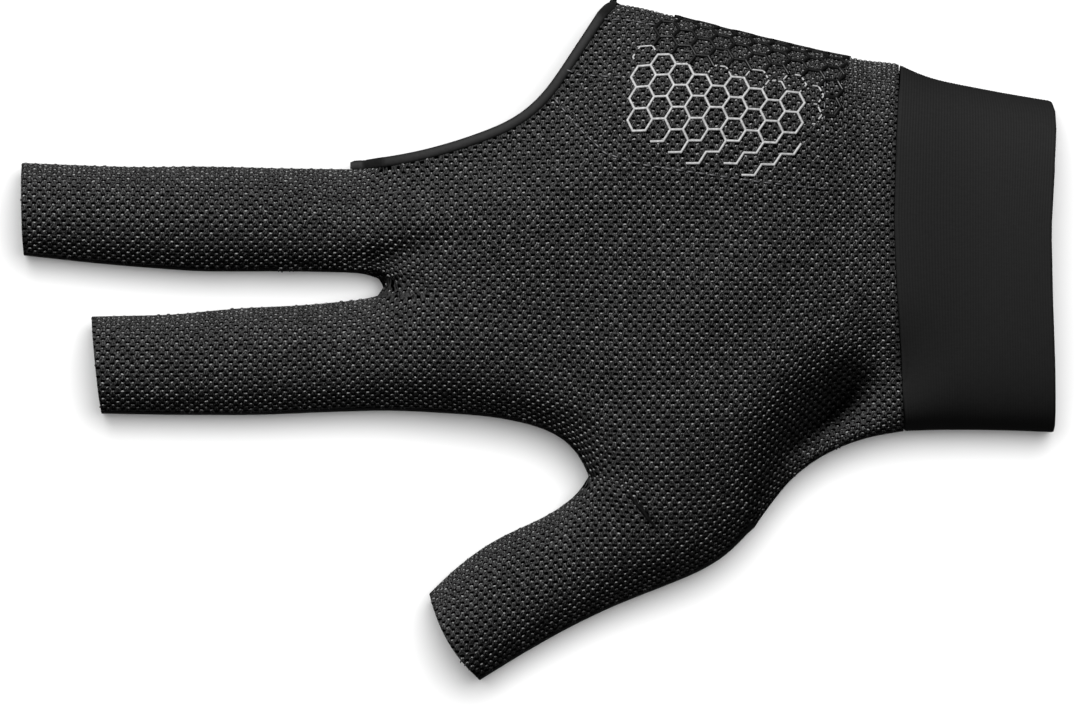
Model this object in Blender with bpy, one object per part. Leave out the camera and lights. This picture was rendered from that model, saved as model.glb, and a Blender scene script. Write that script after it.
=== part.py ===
# A left-hand billiard glove for thumb, index and middle finger, lying palm up.
# Its pieces are a knitted palm panel, a smooth back panel, an elastic wrist cuff,
# two folded bindings round the opening for the other two fingers, and a raised
# honeycomb grip on the outer heel. Metres, +Z up, fingers towards -X, thumb towards -Y.

import math

import bpy
import numpy as np

# Sizes of the hand, seen from above.
PALM_LENGTH = 0.1088
PALM_WIDTH = 0.0748
KNUCKLE_SHIFT = -0.0087
MIDDLE_LENGTH = 0.0695
MIDDLE_WIDTH = 0.0213
INDEX_LENGTH = 0.0545
INDEX_WIDTH = 0.0230
FINGER_GAP = 0.0051
CROTCH_DEPTH = 0.0039
THUMB_LENGTH = 0.0529
THUMB_WIDTH = 0.0224
THUMB_HEADING = math.radians(212.7)
THUMB_TIP_BULGE = 0.0016
CUFF_LENGTH = 0.0316

# Heights. The side folds run at the seam height, and the cloth stands up above them.
PALM_RISE = 0.0182
LOFT_REACH = 0.0120
FINGER_SEAM_HEIGHT = 0.0060
PALM_SEAM_HEIGHT = 0.0080
CUFF_RISE_SHARE = 0.74
FLATTENING = 2.1

# The lips of the open side sink towards each other within this distance.
LIP_DROOP = 0.42
LIP_REACH = 0.0110

# Cloth thicknesses, trim and clearances.
PANEL_WALL = 0.0011
CUFF_WALL = 0.0018
BINDING_WIDTH = 0.0017
BINDING_THICKNESS = 0.0021
BINDING_PROUD = 0.0005
PIECE_GAP = 0.0003

# Honeycomb grip: flat-topped cells in columns, wrapped over the outer heel.
CELL_SIDE = 0.0025
CELL_STRETCH = 1.05
GRIP_LINE = 0.0006
GRIP_HEIGHT = 0.00035
GRIP_FROM_WRIST = 0.0529
GRIP_FROM_AXIS = 0.0260
GRIP_LOWEST_Z = 0.0022

# How many faces each stretch of cloth is divided into.
FINGER_ROWS = 8
WEB_ROWS = 4
HEEL_COLUMNS = 6
THUMB_ROWS = 8
MOUTH_COLUMNS = 10
MIDDLE_RINGS = 12
INDEX_RINGS = 10
THUMB_RINGS = 10
CUFF_RINGS = 6
BINDING_STEPS = 26
BINDING_SIDES = 8
HEEL_WRAP_ROWS = 4
PALM_ROWS = 2 * FINGER_ROWS + WEB_ROWS

# Edges of the palm seen from above: share of the palm's length from the wrist seam,
# and share of its width from the middle line, positive away from the thumb.
OUTER_HEEL_EDGE = (
    ("wrist", 0.000, 0.500),
    ("heel", 0.103, 0.519),
    ("pad end", 0.206, 0.553),
    ("pad", 0.310, 0.590),
    ("pad start", 0.425, 0.632),
    ("below corner", 0.500, 0.660),
    ("corner", 0.527, 0.664),
)
MOUTH_EDGE = (
    ("corner", 0.527, 0.664),
    ("round the corner", 0.545, 0.636),
    ("steep", 0.592, 0.532),
    ("steep end", 0.650, 0.405),
    ("bend", 0.680, 0.350),
    ("shallow", 0.748, 0.304),
    ("long", 0.832, 0.261),
    ("finger side", 0.916, 0.231),
)
THUMB_HEEL_EDGE = (
    ("wrist", 0.000, -0.500),
    ("crease", 0.080, -0.520),
    ("heel", 0.131, -0.557),
    ("hollow", 0.187, -0.606),
    ("rise", 0.230, -0.677),
    ("thumb heel", 0.271, -0.760),
)
WEB_EDGE = (
    ("finger side", 0.934, -0.446),
    ("long", 0.785, -0.459),
    ("turn", 0.720, -0.473),
    ("curve", 0.664, -0.495),
    ("tight", 0.613, -0.538),
    ("thumb crotch", 0.581, -0.622),
)

# Sections of the fingers, root to tip: shares of the finger's length and width.
MIDDLE_SECTIONS = (
    # along, sway towards the outer side, width
    (0.00, 0.000, 1.000),
    (0.22, 0.012, 0.995),
    (0.48, 0.022, 1.015),
    (0.62, 0.035, 0.975),
    (0.75, 0.055, 0.950),
    (1.00, 0.115, 0.895),
)
INDEX_SECTIONS = (
    (0.00, 0.000, 1.000),
    (0.22, -0.035, 0.965),
    (0.39, -0.053, 0.965),
    (0.56, -0.066, 0.938),
    (0.67, -0.084, 0.903),
    (0.84, -0.087, 0.885),
    (1.00, -0.088, 0.870),
)
MIDDLE_TIP_SLANT = 0.020
INDEX_TIP_SLANT = 0.100

# The thumb's two sides in its own frame, as shares of its length and width from its root.
THUMB_SECTIONS = (
    # crotch side along, out; heel side along, out
    (0.313, 0.529, -0.039, -0.690),
    (0.452, 0.520, 0.173, -0.625),
    (0.576, 0.565, 0.365, -0.530),
    (0.708, 0.589, 0.577, -0.462),
    (0.853, 0.562, 0.788, -0.430),
    (0.985, 0.500, 1.000, -0.420),
)
THUMB_ROOT = (0.4206, -0.6900)

# The cuff's two side folds: share of its length, and of the palm's width.
CUFF_SECTIONS = (
    # along, outer side, thumb side
    (0.00, 0.500, -0.500),
    (0.09, 0.492, -0.498),
    (0.17, 0.467, -0.497),
    (0.45, 0.441, -0.496),
    (0.80, 0.417, -0.499),
    (1.00, 0.402, -0.503),
)

# Low mounds and hollows of the palm side: place and reach as shares of the palm's
# length and width, turn in degrees, height as a share of the rise.
MOUNDS = (
    # name, along, side, half length, half width, turn, height
    ("outer heel mound", 0.30, 0.30, 0.24, 0.26, 12, 0.10),
    ("palm mound", 0.36, -0.12, 0.20, 0.24, 35, 0.06),
    ("thumb mound", 0.40, -0.48, 0.20, 0.16, 25, 0.12),
    ("hollow of the hand", 0.66, -0.16, 0.17, 0.20, 30, -0.10),
    ("crease at the thumb heel", 0.085, -0.38, 0.13, 0.10, 30, -0.32),
    ("crease along the thumb", 0.20, -0.52, 0.12, 0.07, 50, -0.14),
    ("valley behind the fingers", 0.92, -0.11, 0.12, 0.07, 0, -0.16),
    ("pad of the middle finger", 0.90, 0.08, 0.10, 0.12, 0, 0.05),
    ("pad of the index finger", 0.88, -0.30, 0.12, 0.12, 0, 0.08),
)

# Lowest and highest cell of each column of the grip, counted from the first
# column's lowest cell. The highest ones lie round the edge, and are cut off there.
GRIP_COLUMNS = (
    # lowest, highest
    (0, 3),
    (0, 6),
    (-1, 7),
    (-1, 7),
    (-2, 7),
    (-2, 7),
    (-2, 7),
    (-1, 7),
    (-1, 7),
    (0, 7),
    (1, 6),
)

# Colours, linear, with roughness.
KNIT_BLACK = (0.018, 0.018, 0.019, 0.82)
SMOOTH_BLACK = (0.014, 0.014, 0.015, 0.62)
CUFF_BLACK = (0.016, 0.016, 0.016, 0.70)
TAPE_GREY = (0.030, 0.030, 0.031, 0.60)
GRIP_SILVER = (0.420, 0.420, 0.420, 0.38)


def smooth_step(share):
    share = np.clip(share, 0.0, 1.0)
    return share * share * (3.0 - 2.0 * share)


def eased(count):
    """Shares from 0 to 1 that crowd towards both ends, as points round half a circle do."""
    return 0.5 - 0.5 * np.cos(np.linspace(0.0, math.pi, count + 1))


def arc_lengths(points):
    steps = np.linalg.norm(np.diff(points, axis=0), axis=1)
    return np.concatenate([[0.0], np.cumsum(steps)])


def along_polyline(points, distances):
    """The points at these distances along a polyline."""
    lengths = arc_lengths(points)
    columns = [np.interp(distances, lengths, points[:, k]) for k in range(points.shape[1])]
    return np.stack(columns, axis=-1)


def smooth_curve(knots, steps_per_span=12):
    """A dense Catmull-Rom curve through the knots, and the index of each knot in it."""
    knots = np.asarray(knots, float)
    before = 2 * knots[0] - knots[1]
    after = 2 * knots[-1] - knots[-2]
    padded = np.vstack([before, knots, after])
    t = np.linspace(0.0, 1.0, steps_per_span, endpoint=False)[:, None]
    spans = []
    for a, b, c, d in zip(padded[:-3], padded[1:-2], padded[2:-1], padded[3:], strict=True):
        spans.append(
            0.5 * (2 * b + (c - a) * t + (2 * a - 5 * b + 4 * c - d) * t**2 + (3 * b - a - 3 * c + d) * t**3)
        )
    return np.vstack([*spans, knots[-1:]]), np.arange(len(knots)) * steps_per_span


def stretch(curve, shares):
    """Points at shares of the length of one stretch of a curve."""
    return along_polyline(curve, np.asarray(shares) * arc_lengths(curve)[-1])


def table_column(rows, column, shares):
    """One column of a section table, smoothly read at shares of the first column."""
    rows = np.asarray(rows, float)
    curve, _ = smooth_curve(rows[:, [0, column]])
    return np.interp(shares, curve[:, 0], curve[:, 1])


def palm_point(along, side):
    return np.array([-along * PALM_LENGTH, side * PALM_WIDTH])


def palm_edge(table):
    return [palm_point(along, side) for _, along, side in table]


def thumb_point(along, out):
    ahead = np.array([math.cos(THUMB_HEADING), math.sin(THUMB_HEADING)])
    across = np.array([ahead[1], -ahead[0]])
    return palm_point(*THUMB_ROOT) + along * THUMB_LENGTH * ahead + out * THUMB_WIDTH * across


def knuckle_heights():
    """Where the finger roots begin and end across the glove, outer side first."""
    top = KNUCKLE_SHIFT + (MIDDLE_WIDTH + FINGER_GAP + INDEX_WIDTH) / 2
    return top, top - MIDDLE_WIDTH, top - MIDDLE_WIDTH - FINGER_GAP, KNUCKLE_SHIFT * 2 - top


def palm_outline():
    """The palm's edges as stretches of points, each running from the wrist to the fingers."""
    outer_top, _, _, index_low = knuckle_heights()
    mouth_knots = [*palm_edge(MOUTH_EDGE), np.array([-PALM_LENGTH, outer_top])]
    web_knots = [
        np.array([-PALM_LENGTH, index_low]),
        *palm_edge(WEB_EDGE),
        *[thumb_point(row[0], row[1]) for row in THUMB_SECTIONS],
    ]
    heel_knots = [*palm_edge(THUMB_HEEL_EDGE), *[thumb_point(row[2], row[3]) for row in THUMB_SECTIONS]]
    outer_heel, _ = smooth_curve(palm_edge(OUTER_HEEL_EDGE))
    mouth, _ = smooth_curve(mouth_knots)
    web, web_marks = smooth_curve(web_knots)
    heel, heel_marks = smooth_curve(heel_knots)
    crotch = web_marks[len(WEB_EDGE)]
    thumb_heel = heel_marks[len(THUMB_HEEL_EDGE) - 1]
    return {
        "outer heel": outer_heel,
        "mouth": mouth,
        "web": web[: crotch + 1][::-1],
        "thumb crotch side": web[crotch:],
        "thumb heel": heel[: thumb_heel + 1],
        "thumb heel side": heel[thumb_heel:],
    }


def palm_net(outline):
    """Plan points of the palm: one rung for each column, wrist to fingers, outer side first."""
    pad_share = 0.52
    to_thumb = stretch(outline["outer heel"], np.linspace(0, pad_share, HEEL_COLUMNS + 1))
    by_thumb = stretch(outline["outer heel"], np.linspace(pad_share, 1, THUMB_ROWS + 1))
    by_mouth = stretch(outline["mouth"], 0.5 * (eased(MOUTH_COLUMNS) + np.linspace(0, 1, MOUTH_COLUMNS + 1)))
    upper = np.vstack([to_thumb, by_thumb[1:], by_mouth[1:]])

    heel = stretch(outline["thumb heel"], np.linspace(0, 1, HEEL_COLUMNS + 1))
    root_line = np.array([outline["thumb heel"][-1], outline["thumb crotch side"][0]])
    root = stretch(root_line, eased(THUMB_ROWS))
    web = stretch(outline["web"], np.linspace(0, 1, MOUTH_COLUMNS + 1))
    lower = np.vstack([heel, root[1:], web[1:]])

    top, middle_low, index_top, low = knuckle_heights()
    middle = top + eased(FINGER_ROWS) * (middle_low - top)
    web_turn = np.linspace(0, math.pi, WEB_ROWS + 1)
    gap = (middle_low + index_top) / 2 + np.cos(web_turn) * (middle_low - index_top) / 2
    index = index_top + eased(FINGER_ROWS) * (low - index_top)
    at_fingers = (top - np.concatenate([middle, gap[1:], index[1:]])) / (top - low)
    bulge = np.zeros(PALM_ROWS + 1)
    bulge[FINGER_ROWS : FINGER_ROWS + WEB_ROWS + 1] = CROTCH_DEPTH * np.sin(web_turn)

    at_wrist = eased(PALM_ROWS)
    rungs = []
    for column, (a, b) in enumerate(zip(upper, lower, strict=True)):
        behind = (len(upper) - 1 - column) / MOUTH_COLUMNS
        shares = at_fingers + (at_wrist - at_fingers) * smooth_step(behind / 1.3)
        rung = a + shares[:, None] * (b - a)
        rung[:, 0] += bulge * np.clip(1 - 2.6 * behind, 0, 1)
        rungs.append(rung)
    return np.array(rungs)


def finger_net(root_rung, length, width, sections, slant, rings):
    """Plan points of a finger, from its root rung to its open tip."""
    centre = (root_rung[0] + root_rung[-1]) / 2
    shares = root_rung[:, 1] - centre[1]
    shares = shares / (shares[0] - shares[-1])
    rungs = [root_rung]
    for along in np.linspace(0, 1, rings + 1)[1:]:
        sway = table_column(sections, 1, along) * width
        across = table_column(sections, 2, along) * width * shares
        lean = -slant * across * along**4
        x = centre[0] - along * length + lean
        rungs.append(np.stack([x, centre[1] + sway + across], axis=-1))
    return np.array(rungs)


def thumb_net(root_rung, outline):
    """Plan points of the thumb, from the line where it leaves the palm to its open tip."""
    shares = np.linspace(0, 1, THUMB_RINGS + 1)
    heel_side = stretch(outline["thumb heel side"], shares)
    crotch_side = stretch(outline["thumb crotch side"], shares)
    across = eased(THUMB_ROWS)[:, None]
    rungs = [heel + across * (crotch - heel) for heel, crotch in zip(heel_side, crotch_side, strict=True)]
    rungs[0] = root_rung
    ahead = np.array([math.cos(THUMB_HEADING), math.sin(THUMB_HEADING)])
    for share, rung in zip(shares, rungs, strict=True):
        if share > 0:
            rung += THUMB_TIP_BULGE * share**6 * np.sin(math.pi * across) * ahead
    return np.array(rungs)


def cuff_net():
    """Plan points of the cuff, from the wrist seam to its open end."""
    rungs = []
    for along in np.linspace(0, 1, CUFF_RINGS + 1):
        outer = table_column(CUFF_SECTIONS, 1, along) * PALM_WIDTH
        inner = table_column(CUFF_SECTIONS, 2, along) * PALM_WIDTH
        y = outer + eased(PALM_ROWS) * (inner - outer)
        rungs.append(np.stack([np.full_like(y, along * CUFF_LENGTH), y], axis=-1))
    return np.array(rungs)


class Glove:
    """The glove's outer skin: a plan net, its upper and lower sheets, and whose cloth each face is."""

    def __init__(self):
        self.plan, self.rise, self.seam = [], [], []
        self.index, self.closed = {}, set()
        self.quads = []
        outline = palm_outline()
        self.palm = self.add_net(palm_net(outline), self.palm_heights)
        self.cuff = self.add_net(cuff_net(), self.cuff_heights)
        knuckles = self.palm[-1]
        roots = knuckles[: FINGER_ROWS + 1], knuckles[FINGER_ROWS + WEB_ROWS :]
        self.middle = self.add_net(
            finger_net(
                self.plan_of(roots[0]), MIDDLE_LENGTH, MIDDLE_WIDTH, MIDDLE_SECTIONS, MIDDLE_TIP_SLANT,
                MIDDLE_RINGS,
            ),
            self.finger_heights,
        )
        self.index_finger = self.add_net(
            finger_net(
                self.plan_of(roots[1]), INDEX_LENGTH, INDEX_WIDTH, INDEX_SECTIONS, INDEX_TIP_SLANT,
                INDEX_RINGS,
            ),
            self.finger_heights,
        )
        thumb_columns = slice(HEEL_COLUMNS, HEEL_COLUMNS + THUMB_ROWS + 1)
        self.thumb = self.add_net(
            thumb_net(self.plan_of(self.palm[thumb_columns, -1]), outline), self.thumb_heights
        )
        self.plan, self.rise, self.seam = map(np.array, (self.plan, self.rise, self.seam))
        self.mark_closed_edges()
        self.collect_quads()
        self.lift_sheets()

    def plan_of(self, indices):
        return np.array([self.plan[i] for i in indices])

    def vertex(self, point, rise, seam):
        """The index of a plan point, shared with any net that has made the same point."""
        key = tuple(np.round(point, 7))
        if key not in self.index:
            self.index[key] = len(self.plan)
            self.plan.append(np.asarray(point, float))
            self.rise.append(rise)
            self.seam.append(seam)
        return self.index[key]

    def add_net(self, rungs, heights):
        last = len(rungs) - 1
        return np.array([[self.vertex(p, *heights(i / last)) for p in rung] for i, rung in enumerate(rungs)])

    def palm_heights(self, share):
        """Rise and seam height of a palm rung, by its share of the way from the wrist to the fingers."""
        rise = 1 - (1 - CUFF_RISE_SHARE) * 0.6 * (1 - smooth_step(share / 0.22))
        drop = smooth_step((share - 0.75) / 0.25)
        return rise, PALM_SEAM_HEIGHT + (FINGER_SEAM_HEIGHT - PALM_SEAM_HEIGHT) * drop

    def cuff_heights(self, share):
        at_wrist = 1 - (1 - CUFF_RISE_SHARE) * 0.6
        return at_wrist + (CUFF_RISE_SHARE - at_wrist) * smooth_step(share / 0.5), PALM_SEAM_HEIGHT

    def finger_heights(self, share):
        return 1.0, FINGER_SEAM_HEIGHT

    def thumb_heights(self, share):
        drop = smooth_step(share / 0.6)
        return 1.0, PALM_SEAM_HEIGHT + (FINGER_SEAM_HEIGHT - PALM_SEAM_HEIGHT) * drop

    def mark_closed_edges(self):
        """Edges where the two sheets meet: everywhere but the tips, the cuff's end and the mouth."""
        corner = HEEL_COLUMNS + THUMB_ROWS
        edges = [
            self.palm[: corner + 1, 0],
            self.palm[-1:, 0],
            self.palm[: HEEL_COLUMNS + 1, -1],
            self.palm[corner:, -1],
            self.palm[-1, FINGER_ROWS : FINGER_ROWS + WEB_ROWS + 1],
        ]
        for net in (self.cuff, self.middle, self.index_finger, self.thumb):
            edges += [net[:, 0], net[:, -1]]
        self.closed = {int(i) for edge in edges for i in edge}

    def collect_quads(self):
        """Every quad of the plan net, counter-clockwise, with the piece it belongs to above and below."""
        corner = HEEL_COLUMNS + THUMB_ROWS
        for name, net in (
            ("palm", self.palm),
            ("cuff", self.cuff),
            ("middle", self.middle),
            ("index", self.index_finger),
            ("thumb", self.thumb),
        ):
            for i in range(net.shape[0] - 1):
                for j in range(net.shape[1] - 1):
                    quad = [net[i, j], net[i + 1, j], net[i + 1, j + 1], net[i, j + 1]]
                    above, below = "palm_panel", "back_panel"
                    last_row = j == net.shape[1] - 2
                    if name == "cuff":
                        above = below = "wrist_cuff"
                    elif name == "palm":
                        by_heel = i <= HEEL_COLUMNS
                        if last_row and (by_heel or i >= corner):
                            above = "back_panel"
                        if j < HEEL_WRAP_ROWS and i < corner:
                            below = "palm_panel"
                    elif name == "thumb" and j == 0:
                        above = "back_panel"
                    elif name in ("middle", "index") and last_row:
                        above = "back_panel"
                    self.quads.append((self.counter_clockwise(quad), above, below))

    def counter_clockwise(self, quad):
        x, y = self.plan[quad].T
        area = np.sum(x * np.roll(y, -1) - np.roll(x, -1) * y)
        return quad if area > 0 else quad[::-1]

    def loft(self):
        """How far the stuffed cloth lifts at each plan point, 0 at the closed edges and 1 far from them.
        It is a membrane pushed up from below and held back by a soft bed, solved on the net's triangles."""
        count = len(self.plan)
        stiffness = np.zeros((count, count))
        load = np.zeros(count)
        for quad, _, _ in self.quads:
            for triangle in ((quad[0], quad[1], quad[2]), (quad[0], quad[2], quad[3])):
                corners = self.plan[list(triangle)]
                opposite = np.roll(corners, -1, axis=0) - np.roll(corners, 1, axis=0)
                spread = corners[1:] - corners[0]
                area = abs(spread[0, 0] * spread[1, 1] - spread[0, 1] * spread[1, 0]) / 2
                stiffness[np.ix_(triangle, triangle)] += opposite @ opposite.T / (4 * area)
                load[list(triangle)] += area / 3
        stiffness[np.diag_indices(count)] += load / LOFT_REACH**2
        free = np.array([i for i in range(count) if i not in self.closed])
        lift = np.zeros(count)
        lift[free] = np.linalg.solve(stiffness[np.ix_(free, free)], load[free])
        return np.sqrt(np.maximum(lift, 0) / LOFT_REACH**2)

    def mound_heights(self):
        heights = np.zeros(len(self.plan))
        for _, along, side, half_length, half_width, turn, height in MOUNDS:
            away = self.plan - palm_point(along, side)
            c, s = math.cos(math.radians(turn)), math.sin(math.radians(turn))
            u = (away[:, 0] * c + away[:, 1] * s) / (half_length * PALM_LENGTH)
            v = (away[:, 1] * c - away[:, 0] * s) / (half_width * PALM_WIDTH)
            heights += height * PALM_RISE * np.exp(-(u * u + v * v))
        return heights

    def lip_droop(self):
        """How much the upper sheet has sunk near the free edge of the mouth."""
        mouth = self.plan[self.palm[HEEL_COLUMNS + THUMB_ROWS :, 0]]
        dense = along_polyline(mouth, np.linspace(0, arc_lengths(mouth)[-1], 120))
        away = np.linalg.norm(self.plan[:, None] - dense[None], axis=2).min(axis=1)
        return LIP_DROOP * np.exp(-((away / LIP_REACH) ** 2))

    def lift_sheets(self):
        """Puts the upper and the lower sheet at their heights, sharing the points of closed edges."""
        loft = self.loft()
        upper_z = self.seam + PALM_RISE * self.rise * loft * (1 - self.lip_droop())
        upper_z += self.mound_heights() * np.minimum(1, 1.3 * loft)
        lower_z = self.seam * (1 - np.sin(math.pi / 2 * np.minimum(1, FLATTENING * loft)))
        count = len(self.plan)
        self.upper = np.arange(count)
        self.lower = np.arange(count, 2 * count)
        for i in self.closed:
            self.lower[i] = i
        self.points = np.vstack(
            [np.column_stack([self.plan, upper_z]), np.column_stack([self.plan, lower_z])]
        )
        self.faces, self.owners = [], []
        for quad, above, below in self.quads:
            self.faces += [self.upper[quad], self.lower[quad][::-1]]
            self.owners += [above, below]
        self.normals = vertex_normals(self.points, self.faces)


def vertex_normals(points, faces):
    normals = np.zeros_like(points)
    for face in faces:
        a, b, c, d = points[face]
        normals[face] += np.cross(c - a, d - b)
    lengths = np.linalg.norm(normals, axis=1, keepdims=True)
    return normals / np.where(lengths > 0, lengths, 1)


def border_edges(faces):
    """Edges used by one face only, in that face's own direction."""
    edges = {(int(a), int(b)) for face in faces for a, b in zip(face, np.roll(face, -1), strict=True)}
    return [edge for edge in edges if edge[::-1] not in edges]


def drawn_back(glove, name, faces):
    """The skin's points with this piece's border moved in by half a gap wherever another piece adjoins."""
    owners_at = {}
    for face, owner in zip(glove.faces, glove.owners, strict=True):
        for i in face:
            owners_at.setdefault(int(i), set()).add(owner)
    points = glove.points.copy()
    border = border_edges(faces)
    tangents, inward = {}, {}
    for a, b in border:
        for i in (a, b):
            tangents[i] = tangents.get(i, 0) + glove.points[b] - glove.points[a]
    for face in faces:
        middle = glove.points[face].mean(axis=0)
        for i in map(int, face):
            if i in tangents:
                inward[i] = inward.get(i, 0) + middle - glove.points[i]
    for i, tangent in tangents.items():
        if len(owners_at[i]) < 2:
            continue
        tangent = tangent / max(np.linalg.norm(tangent), 1e-12)
        way = inward[i] - tangent * np.dot(inward[i], tangent)
        way -= glove.normals[i] * np.dot(way, glove.normals[i])
        points[i] += way / max(np.linalg.norm(way), 1e-12) * PIECE_GAP / 2
    return points


def cloth_piece(glove, name, wall, material):
    """One piece of cloth: its faces of the skin, the same faces a wall further in, and the rims."""
    faces = [f for f, owner in zip(glove.faces, glove.owners, strict=True) if owner == name]
    outer = drawn_back(glove, name, faces)
    inner = outer - glove.normals * wall
    used = sorted({int(i) for face in faces for i in face})
    place = {i: k for k, i in enumerate(used)}
    count = len(used)
    points = np.vstack([outer[used], inner[used]])
    outer_faces = [[place[int(i)] for i in face] for face in faces]
    inner_faces = [[i + count for i in reversed(face)] for face in outer_faces]
    rims = [
        [place[b], place[a], place[a] + count, place[b] + count] for a, b in border_edges(faces)
    ]
    return mesh_object(name, points, outer_faces + inner_faces + rims, material)


def binding(name, rim, normals, inward, parting, proud, material):
    """A folded tape along one lip of the mouth, from where the two lips have room for both tapes."""
    lengths = arc_lengths(rim)
    dense = np.linspace(0, lengths[-1], 400)
    room = 1.5 * BINDING_THICKNESS + PIECE_GAP
    roomy = dense[np.interp(dense, lengths, parting) > room]
    at = np.linspace(roomy[0], roomy[-1], BINDING_STEPS + 1)
    rim_at, normal_at, inward_at = (
        np.stack([np.interp(at, lengths, values[:, k]) for k in range(3)], axis=-1)
        for values in (rim, normals, inward)
    )
    turns = np.linspace(0, 2 * math.pi, BINDING_SIDES, endpoint=False) + math.pi / BINDING_SIDES
    rings = []
    tangents = np.gradient(rim_at, axis=0)
    for point, normal, way, tangent in zip(rim_at, normal_at, inward_at, tangents, strict=True):
        tangent = tangent / np.linalg.norm(tangent)
        normal = normal - tangent * np.dot(normal, tangent)
        normal = normal / np.linalg.norm(normal)
        way = way - normal * np.dot(way, normal) - tangent * np.dot(way, tangent)
        out = -way / np.linalg.norm(way)
        centre = point + normal * (proud - BINDING_THICKNESS / 2) + out * (PIECE_GAP + BINDING_WIDTH / 2)
        runs_along = np.dot(np.cross(out, normal), rim_at[-1] - rim_at[0])
        for turn in turns * np.sign(runs_along):
            rings.append(
                centre
                + out * math.cos(turn) * BINDING_WIDTH / 2 / math.cos(math.pi / BINDING_SIDES)
                + normal * math.sin(turn) * BINDING_THICKNESS / 2 / math.cos(math.pi / BINDING_SIDES)
            )
    sides = BINDING_SIDES
    faces = []
    for i in range(BINDING_STEPS):
        for j in range(sides):
            k = (j + 1) % sides
            faces.append([i * sides + j, i * sides + k, (i + 1) * sides + k, (i + 1) * sides + j])
    faces.append(list(range(sides))[::-1])
    faces.append([BINDING_STEPS * sides + j for j in range(sides)])
    return mesh_object(name, np.array(rings), faces, material)


def mouth_rim(glove, sheet):
    """The free edge of one lip: its points, the skin's normals there, the way into the cloth, and how
    far the other lip is."""
    columns = glove.palm[HEEL_COLUMNS + THUMB_ROWS :]
    edge = sheet[columns[:, 0]]
    into_cloth = glove.points[sheet[columns[:, 1]]] - glove.points[edge]
    lips = glove.points[glove.upper[columns[:, 0]]] - glove.points[glove.lower[columns[:, 0]]]
    return glove.points[edge], glove.normals[edge], into_cloth, np.linalg.norm(lips, axis=1)


class HeelSkin:
    """The outer heel unrolled: places by their distance from the wrist and along the cloth over the edge."""

    def __init__(self, glove):
        self.rings, self.ring_normals, self.starts = [], [], []
        corner = HEEL_COLUMNS + THUMB_ROWS
        for column in glove.palm[: corner + MOUTH_COLUMNS // 2]:
            above = glove.upper[column[: PALM_ROWS // 2 + 1]][::-1]
            below = glove.lower[column[1 : HEEL_WRAP_ROWS + 2]]
            ring = glove.points[np.concatenate([above, below])]
            start = np.interp(GRIP_FROM_AXIS, ring[: len(above), 1], arc_lengths(ring)[: len(above)])
            self.rings.append(ring)
            self.ring_normals.append(glove.normals[np.concatenate([above, below])])
            self.starts.append(start)

    def place(self, from_wrist, over):
        """The skin's point and normal at a distance from the wrist and along the cloth towards the edge."""
        points, normals = [], []
        for ring, ring_normal, start in zip(self.rings, self.ring_normals, self.starts, strict=True):
            lengths = arc_lengths(ring)
            at = np.clip(start + over, 0, lengths[-1])
            points.append([np.interp(at, lengths, ring[:, k]) for k in range(3)])
            normals.append([np.interp(at, lengths, ring_normal[:, k]) for k in range(3)])
        points, normals = np.array(points), np.array(normals)
        columns = [np.interp(from_wrist, -points[:, 0], values[:, k])
                   for values in (points, normals) for k in range(3)]
        normal = np.array(columns[3:])
        return np.array(columns[:3]), normal / np.linalg.norm(normal)


def grip_cells(skin):
    """Centres of the honeycomb's cells, in the unrolled heel, that stay clear of the table below."""
    pitch_over = math.sqrt(3) * CELL_SIDE * CELL_STRETCH
    cells = []
    for column, (lowest, highest) in enumerate(GRIP_COLUMNS):
        for row in range(lowest, highest + 1):
            centre = (GRIP_FROM_WRIST - 1.5 * CELL_SIDE * column, (row - 0.5 * (column % 2)) * pitch_over)
            over = centre[1] + pitch_over / 2
            if skin.place(centre[0], over)[0][2] > GRIP_LOWEST_Z or over < pitch_over * 3:
                cells.append(centre)
    return cells


def grip(glove, material):
    """A net of raised lines between the cells, one solid that follows the cloth over the edge."""
    skin = HeelSkin(glove)
    keys, points, faces = {}, [], []

    def corner(along, over):
        key = (round(along, 6), round(over, 6))
        if key not in keys:
            point, normal = skin.place(along, over)
            keys[key] = len(points) // 2
            points.extend([point + normal * (PIECE_GAP + GRIP_HEIGHT), point + normal * PIECE_GAP])
        return keys[key]

    hole = 1 - GRIP_LINE / (math.sqrt(3) * CELL_SIDE)
    for along, over in grip_cells(skin):
        outside, inside = [], []
        for turn in range(6):
            angle = math.radians(60 * turn)
            u, v = CELL_SIDE * math.cos(angle), CELL_SIDE * CELL_STRETCH * math.sin(angle)
            outside.append(corner(along - u, over + v))
            inside.append(corner(along - hole * u, over + hole * v))
        for a in range(6):
            b = (a + 1) % 6
            faces.append([outside[a], outside[b], inside[b], inside[a]])
    solid = [[2 * i for i in face] for face in faces]
    solid += [[2 * i + 1 for i in reversed(face)] for face in faces]
    solid += [[2 * b, 2 * a, 2 * a + 1, 2 * b + 1] for a, b in border_edges([np.array(f) for f in faces])]
    return mesh_object("grip_honeycomb", np.array(points), solid, material)


def new_material(name, look):
    material = bpy.data.materials.new(name)
    material.use_nodes = True
    shader = material.node_tree.nodes["Principled BSDF"]
    shader.inputs["Base Color"].default_value = (*look[:3], 1.0)
    shader.inputs["Roughness"].default_value = look[3]
    shader.inputs["Metallic"].default_value = 0.0
    material.diffuse_color = (*look[:3], 1.0)
    return material


def mesh_object(name, points, faces, material):
    mesh = bpy.data.meshes.new(name)
    mesh.from_pydata([tuple(map(float, p)) for p in points], [], [[int(i) for i in f] for f in faces])
    mesh.materials.append(material)
    mesh.shade_smooth()
    mesh.set_sharp_from_angle(angle=math.radians(50))
    mesh.update()
    obj = bpy.data.objects.new(name, mesh)
    bpy.context.scene.collection.objects.link(obj)
    return obj


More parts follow.
